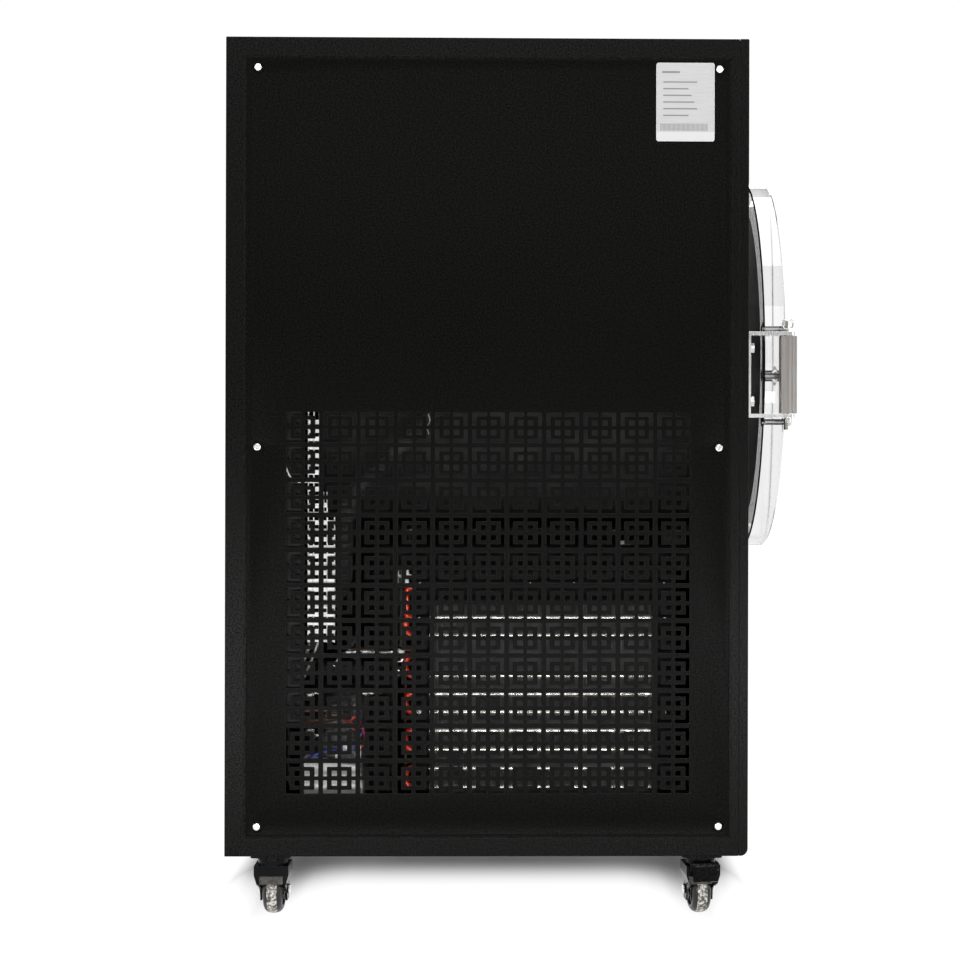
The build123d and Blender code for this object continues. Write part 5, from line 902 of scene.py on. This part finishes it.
def coil_covers():
    """Black folded covers round the condenser's face: one up each side and one over the top."""
    (x0, y0, _), (_, y1, _) = box_mm("condenser_fins")
    face = x0 - COVER_GAP
    skin = face - COVER_SHEET
    parts = []
    for near, far, fold in ((y1 - 1.5, y1 + 21.5, y1 + 21.5 - COVER_SHEET), (y0 - 30.0, y0 + 1.0, y0 - 30.0)):
        parts.append(block((skin, near, COVER_FOOT), (face, far, COVER_TOP)))
        parts.append(block((skin, fold, COVER_FOOT), (face + 12.0, fold + COVER_SHEET, COVER_TOP), 0.4))
    cap = face - 1.3
    parts.append(block((cap, y0 - 29.0, CAP_FOOT), (cap + CAP_SHEET, y1 + 21.0, CAP_TOP)))
    parts.append(block((cap, y0 - 29.0, CAP_TOP - CAP_SHEET), (face + 16.0, y1 + 21.0, CAP_TOP), 0.4))
    dressed("condenser_covers", parts, frame_paint)
    heads = [screw_head((cap, y, 447.0)) for y in (y0 - 15.0, -90.0, -30.0, 50.0, y1 + 11.0)]
    for z in (150.0, 275.0, 400.0):
        heads += [screw_head((skin, y1 + 12.0, z)), screw_head((skin, y0 - 16.0, z))]
    dressed("condenser_cover_screws", heads, zinc)


coil_covers()

# ---- wiring and pipework behind the lattice

TRUNK_X = (-294.6, -282.6)
FINGER_PITCH, FINGER_GAP = 11.2, 5.0
FINGER_WALL, FINGER_RIB = 1.3, 0.8


def trunk_run(y0, y1, z0, z1):
    """A slotted wiring trunk seen from its side: an open comb of fingers between two rails."""
    x0, x1 = TRUNK_X
    middle = (y0 + y1) / 2
    wide = (y1 - y0) / 2 - FINGER_RIB
    parts = []
    for n in range(int((z1 - z0) / FINGER_PITCH)):
        foot = z0 + n * FINGER_PITCH
        top = foot + FINGER_PITCH - FINGER_GAP
        for y in (y0, y1 - FINGER_WALL):
            parts.append(block((x0 + 1.0, y, foot), (x1, y + FINGER_WALL, top), 0.3, 1))
        for y in (y0, middle + FINGER_RIB):
            parts.append(block((x0, y, foot), (x0 + 1.2, y + wide, top), 0.35, 1))
    for y in (y0, middle, y1):
        parts.append(block((x0 + 1.0, y - FINGER_RIB, z0 - 1.0), (x0 + 2.0, y + FINGER_RIB, z1 + 1.0), 0.35, 1))
    return parts


dressed("wiring_trunk", trunk_run(252.0, 266.7, 372.0, 684.0) + trunk_run(231.5, 251.0, 372.0, 540.0)
        + trunk_run(241.5, 251.0, 541.0, 572.0),
        trunk_plastic)


def runs(name, finish, slot, *bars):
    """Bars along paths, each given by its radius, sides, bend and points, in millimetres."""
    dressed(name, [swept(points, radius, sides, bend) for radius, sides, bend, *points in bars], finish)


runs("capillary_tube", zinc, "stainless",
     (2.4, 14, 10.0, (-285.0, 138.0, 357.5), (-285.0, 221.0, 357.5), (-282.0, 233.0, 338.0)),
     (3.6, 6, 0.0, (-285.0, 142.0, 357.5), (-285.0, 148.0, 357.5)),
     (3.6, 6, 0.0, (-285.0, 210.0, 357.5), (-285.0, 216.0, 357.5)))
runs("service_pipe", copper_dull, "copper",
     (3.0, 12, 14.0, (-280.0, 286.0, 262.0), (-279.0, 240.0, 266.0), (-278.0, 212.0, 268.0), (-277.0, 196.0, 258.0),
      (-277.0, 190.0, 232.0)),
     (2.2, 10, 10.0, (-281.0, 288.0, 276.0), (-281.0, 252.0, 279.0), (-280.0, 215.0, 272.0)))

fittings = []
for place, length, radius in (((-283.0, 262.0, 300.0), 6.0, 3.4), ((-283.0, 252.0, 302.0), 4.0, 2.4),
                              ((-280.0, 184.0, 301.0), 8.0, 3.4), ((-280.0, 172.0, 302.0), 5.0, 2.4),
                              ((-282.0, 262.0, 252.0), 6.0, 3.6), ((-282.0, 256.0, 245.0), 4.0, 2.8)):
    fittings.append(swept([place, (place[0], place[1] + length, place[2])], radius, 6))
    fittings.append(swept([(place[0], place[1] - 3.0, place[2]), (place[0], place[1] + length + 3.0, place[2])],
                          radius * 0.62, 14))
dressed("pipe_fittings", fittings, tube_bright)

runs("clear_tubes", tube_white, "white_plastic",
     (2.4, 10, 8.0, (-284.0, 262.0, 376.0), (-284.0, 272.0, 350.0), (-283.0, 292.0, 296.0)),
     (1.6, 10, 8.0, (-286.0, 252.0, 376.0), (-286.0, 262.0, 348.0), (-286.0, 284.0, 300.0)),
     (1.1, 10, 6.0, (-296.9, 298.0, 614.0), (-296.9, 295.0, 602.0), (-296.9, 289.0, 590.0), (-296.9, 276.0, 585.0),
      (-296.9, 258.0, 588.0)),
     (0.9, 8, 4.0, (-285.0, 107.0, 678.0), (-285.0, 104.0, 669.0), (-285.0, 109.0, 660.0), (-285.0, 106.0, 650.0)))
runs("wires_blue", wire_blue, "lead_plastic",
     (1.6, 8, 8.0, (-284.0, 218.0, 230.0), (-284.0, 232.0, 227.0), (-284.0, 252.0, 221.5), (-283.0, 268.0, 214.0)),
     (1.3, 8, 8.0, (-282.0, 210.0, 226.0), (-282.0, 196.0, 246.0), (-281.0, 190.0, 262.0)))
runs("wires_red", wire_red, "lead_plastic",
     (1.5, 8, 8.0, (-282.0, 214.0, 262.0), (-283.0, 204.0, 272.0), (-283.0, 196.0, 262.0), (-282.0, 190.0, 238.0),
      (-281.0, 202.0, 220.0)),
     (1.2, 8, 8.0, (-280.0, 240.0, 270.0), (-281.0, 216.0, 264.0), (-282.0, 206.0, 252.0)))

TERMINAL_ENDS = (
    ((-287.0, 213.5, 223.5), (-282.0, 220.5, 234.5)),
    ((-286.0, 196.5, 214.0), (-282.0, 202.5, 233.0)),
    ((-285.0, 198.0, 232.0), (-280.0, 203.0, 240.0)),
    ((-285.0, 226.0, 214.0), (-280.0, 231.0, 221.0)),
    ((-268.0, 134.0, 446.0), (-262.0, 139.0, 487.0)),
    ((-268.0, 148.0, 444.0), (-262.0, 153.0, 489.0)),
    ((-268.0, 160.0, 446.0), (-262.0, 165.0, 487.0)),
    ((-266.0, 130.0, 470.0), (-260.0, 172.0, 476.0)),
    ((-266.0, 130.0, 455.0), (-260.0, 172.0, 460.0)),
)
dressed("terminal_ends", [block(low, high) for low, high in TERMINAL_ENDS], trunk_plastic)

# ---- rail under the chamber and the inner partition

TERMINALS, TERMINAL_START, TERMINAL_PITCH, TERMINAL_WIDE = 17, -140.0, 12.6, 8.4

rail = [block((-232.0, -166.0, z), (-228.5, 78.0, z + 4.0), 0.5) for z in (466.0, 494.0)]
for n in range(TERMINALS):
    y = TERMINAL_START + n * TERMINAL_PITCH
    rail.append(block((-231.0, y, 470.5), (-226.0, y + TERMINAL_WIDE, 493.5), 0.8))
dressed("terminal_rail", rail, grey_plastic)
dressed("rail_label", [block((-233.0, -168.0, 468.0), (-231.8, -148.5, 504.0), 0.4)]
        + [block((-234.0, -166.0 + n * 6.4, 472.0), (-232.4, -162.0 + n * 6.4, 500.0), 0.5) for n in range(3)],
        trunk_plastic)

partition = []
for y0, y1 in ((-224.0, 148.0), (186.0, 368.0)):
    partition.append(block((-45.0, y0, 91.2), (-43.6, y1, 503.0), 0.4))
    partition.append(block((-45.0, y0, 501.6), (-33.0, y1, 503.0), 0.4))
    for n in range(5):
        z = 150.0 + n * 70.0
        partition.append(block((-46.4, y0 + 12.0, z), (-44.8, y1 - 12.0, z + 6.0), 0.5))
dressed("inner_partition", partition, frame_paint)

# ---- caster wheels

FRONT_TURN = 7.0
WHEEL_RADIUS, WHEEL_HALF = 32.0, 12.5
WHEEL_TURNS = 96
SPOKES = 6
SPOKE_PLAN = ((9.0, -1.6), (21.3, -1.3), (21.3, 1.3), (9.0, 1.6))
SPOKE_DEPTHS = (-9.3, -11.6)
SPOKE_FACES = ((0, 2, 4, 6), (1, 3, 5, 7), (0, 2, 3, 1), (2, 4, 5, 3), (4, 6, 7, 5), (6, 0, 1, 7))
TREAD, SIDE = 0, 1  # the wheel's two finishes
WHEEL_SIDE = ((0.0, -13.6), (8.0, -13.6), (9.6, -13.0), (10.0, -11.6), (10.2, -9.2), (20.2, -9.2), (21.0, -9.8),
              (21.6, -12.0), (22.6, -WHEEL_HALF), (25.2, -WHEEL_HALF), (27.6, -11.3), (29.6, -9.2), (31.0, -6.6),
              (31.75, -3.6), (WHEEL_RADIUS, 0.0))
SIDE_BANDS = (SIDE,) * 12 + (TREAD,) * 2


def axle_turn(node, front):
    """Turns local Z onto the wheel's axle. A front wheel rests turned, and its points tell which way."""
    level = Matrix.Rotation(radians(90.0), 4, "X")
    if not front:
        return level
    low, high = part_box(node)
    middle = (low + high) / 2
    points = [v.co - middle for v in frame["nodes"][node].data.vertices if abs(v.co.z - middle.z) < 0.012]
    sign = 1.0 if sum(p.x * p.y for p in points) > 0 else -1.0
    return Matrix.Rotation(sign * radians(FRONT_TURN), 4, "Z") @ level


def caster_wheel(corner):
    """A nylon wheel with its tread, hub and spokes, on the axle of the CAD wheel."""
    node = "caster_wheel_" + corner
    low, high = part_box(node)
    profile = WHEEL_SIDE + tuple((r, -z) for r, z in reversed(WHEEL_SIDE[:-1]))
    parts = [lathe([(r * MM, z * MM) for r, z in profile], WHEEL_TURNS, SIDE_BANDS + SIDE_BANDS[::-1])]
    for side in (-1, 1):
        for spoke in range(SPOKES):
            angle = 2 * pi * spoke / SPOKES
            rib = [Vector((radial * cos(angle) - across * sin(angle), radial * sin(angle) + across * cos(angle),
                           side * -depth)) * MM for radial, across in SPOKE_PLAN for depth in SPOKE_DEPTHS]
            parts.append((rib, SPOKE_FACES, [SIDE] * len(SPOKE_FACES)))
    place = Matrix.Translation((low + high) / 2) @ axle_turn(node, corner[0] == "f")
    vertices, faces, indices = moved(join_parts(parts), place)
    mesh = mesh_from(vertices, faces, indices=indices)
    made = piece(node + "_turned", mesh, (wheel_tread, wheel_side), BODY_OF[node])
    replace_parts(made, node)


for corner in CORNERS:
    caster_wheel(corner)

# ---- floor, backdrop and lights

FLOOR_SIZE = 60.0
FLOOR_SIDES = 48
FLOOR_NEAR, FLOOR_FAR, FLOOR_RAMP = 1.8, 4.5, 10.0
BACKDROP, ROOM = 1.05, 0.2  # strengths: what the camera sees as white, and what the room adds to the light
# The soft shadow: how open the floor is at a distance in metres from the shadow's middle, as (distance, level).
SHADE_CENTRE_X, SHADE_CENTRE_Y = 0.06, 0.0335
SHADE_ACROSS = ((0.0, 0.0), (0.03, 0.01), (0.048, 0.054), (0.072, 0.184), (0.096, 0.396), (0.125, 0.66),
                (0.152, 0.84), (0.179, 0.94), (0.207, 1.0))
SHADE_NARROW = ((0.0, 1.0), (0.202, 1.0), (0.2315, 0.897), (0.254, 0.768), (0.267, 0.632), (0.276, 0.571),
                (0.2815, 0.537), (0.31, 0.5), (0.345, 0.8), (0.36, 1.0))
SHADE_DEPTH = ((0.0, 0.89), (0.17, 0.86), (0.23, 0.6), (0.28, 0.4), (0.33, 0.3), (0.345, 0.15), (0.38, 0.1))
SHADE_ALONG = ((0.0, 0.0), (0.32, 0.0), (0.342, 0.1), (0.35, 0.2), (0.362, 0.6), (0.372, 0.9), (0.38, 1.0))


def floor_material():
    """White from some way out, and under the cabinet a grey that follows the photo's soft shadow by place."""
    g = Graph("studio_floor")
    length = g.add("VectorMath")
    length.operation = "LENGTH"
    g.link(g.place(), length.inputs[0])

    def profile(value, stops, scale):
        """A ramp over a distance in metres that the scale brings under 1."""
        return g.ramp(g.times(value, scale), *[(place * scale, level) for place, level in stops])

    far = profile(length.outputs["Value"], ((FLOOR_NEAR, 0.0), (FLOOR_FAR, 1.0)), 1 / FLOOR_RAMP)
    axes = g.axes()
    aside = g.math("ABSOLUTE", g.math("SUBTRACT", axes["X"], SHADE_CENTRE_X))
    along = g.math("ABSOLUTE", g.math("SUBTRACT", axes["Y"], SHADE_CENTRE_Y))
    aside = g.times(aside, profile(along, SHADE_NARROW, 2.0))
    lit = g.math("MAXIMUM", profile(aside, SHADE_ACROSS, 4.0), profile(along, SHADE_ALONG, 2.0))
    cloud = g.ramp(g.noise(2.0, 4.0), (0.3, 0.0), (0.7, 0.04))
    g.set(colour=g.mix(cloud, profile(along, SHADE_DEPTH, 2.0), grey(0.95)), roughness=0.7, specular=0.2)
    glow = g.add("Emission", Strength=BACKDROP)
    blend = g.add("MixShader")
    for socket, value in zip(blend.inputs, (g.math("MAXIMUM", far, lit), g.shader.outputs[0], glow.outputs[0])):
        g.link(value, socket)
    g.link(blend.outputs[0], g.output.inputs["Surface"])
    return g.material


floor_mesh = bpy.data.meshes.new("studio_floor")
ring = [(*place, 0.0) for place in circle_loop((0.0, 0.0), FLOOR_SIZE, FLOOR_SIDES)]
floor_mesh.from_pydata(ring, [], [tuple(range(FLOOR_SIDES))])
floor = bpy.data.objects.new("studio_floor", floor_mesh)
scene.collection.objects.link(floor)
floor.data.materials.append(floor_material())

world = bpy.data.worlds.new("studio")
scene.world = world
world.use_nodes = True
tree = world.node_tree
tree.nodes.clear()
path = tree.nodes.new("ShaderNodeLightPath")
either = tree.nodes.new("ShaderNodeMath")
either.operation = "MAXIMUM"
blend = tree.nodes.new("ShaderNodeMixShader")
out = tree.nodes.new("ShaderNodeOutputWorld")
tree.links.new(path.outputs["Is Camera Ray"], either.inputs[0])
tree.links.new(path.outputs["Is Transmission Ray"], either.inputs[1])
tree.links.new(either.outputs[0], blend.inputs[0])
for socket, strength in ((1, ROOM), (2, BACKDROP)):
    light = tree.nodes.new("ShaderNodeBackground")
    light.inputs["Color"].default_value = (1.0, 1.0, 1.0, 1.0)
    light.inputs["Strength"].default_value = strength
    tree.links.new(light.outputs[0], blend.inputs[socket])
tree.links.new(blend.outputs[0], out.inputs["Surface"])


def softbox(name, place, aim, size, power):
    """A large light in watts, itself seen neither by the camera nor through the clear door."""
    lamp = bpy.data.lights.new(name, "AREA")
    lamp.shape = "RECTANGLE"
    lamp.size, lamp.size_y = size
    lamp.energy = power
    holder = bpy.data.objects.new(name, lamp)
    scene.collection.objects.link(holder)
    holder.location = place
    holder.rotation_euler = (Vector(aim) - Vector(place)).to_track_quat("-Z", "Y").to_euler()
    holder.visible_camera = False
    holder.visible_transmission = False


softbox("overhead", (0.2, 0.0, 4.2), (0.0, 0.0, 0.0), (4.5, 4.5), 330.0)
softbox("front_high", (-4.4, -0.4, 2.7), (-0.2, 0.0, 0.2), (5.0, 1.6), 80.0)
softbox("low_strip", (-1.7, 0.05, 0.14), (-0.3, 0.05, 0.3), (2.6, 0.22), 21.0)
softbox("right_side", (-1.0, -4.6, 1.6), (-0.3, -0.3, 0.5), (2.6, 2.6), 90.0)
softbox("left_side", (-0.6, 4.6, 1.6), (-0.3, 0.3, 0.5), (2.6, 2.6), 80.0)
softbox("behind", (4.6, 0.0, 2.4), (0.2, 0.0, 0.4), (4.0, 2.4), 150.0)
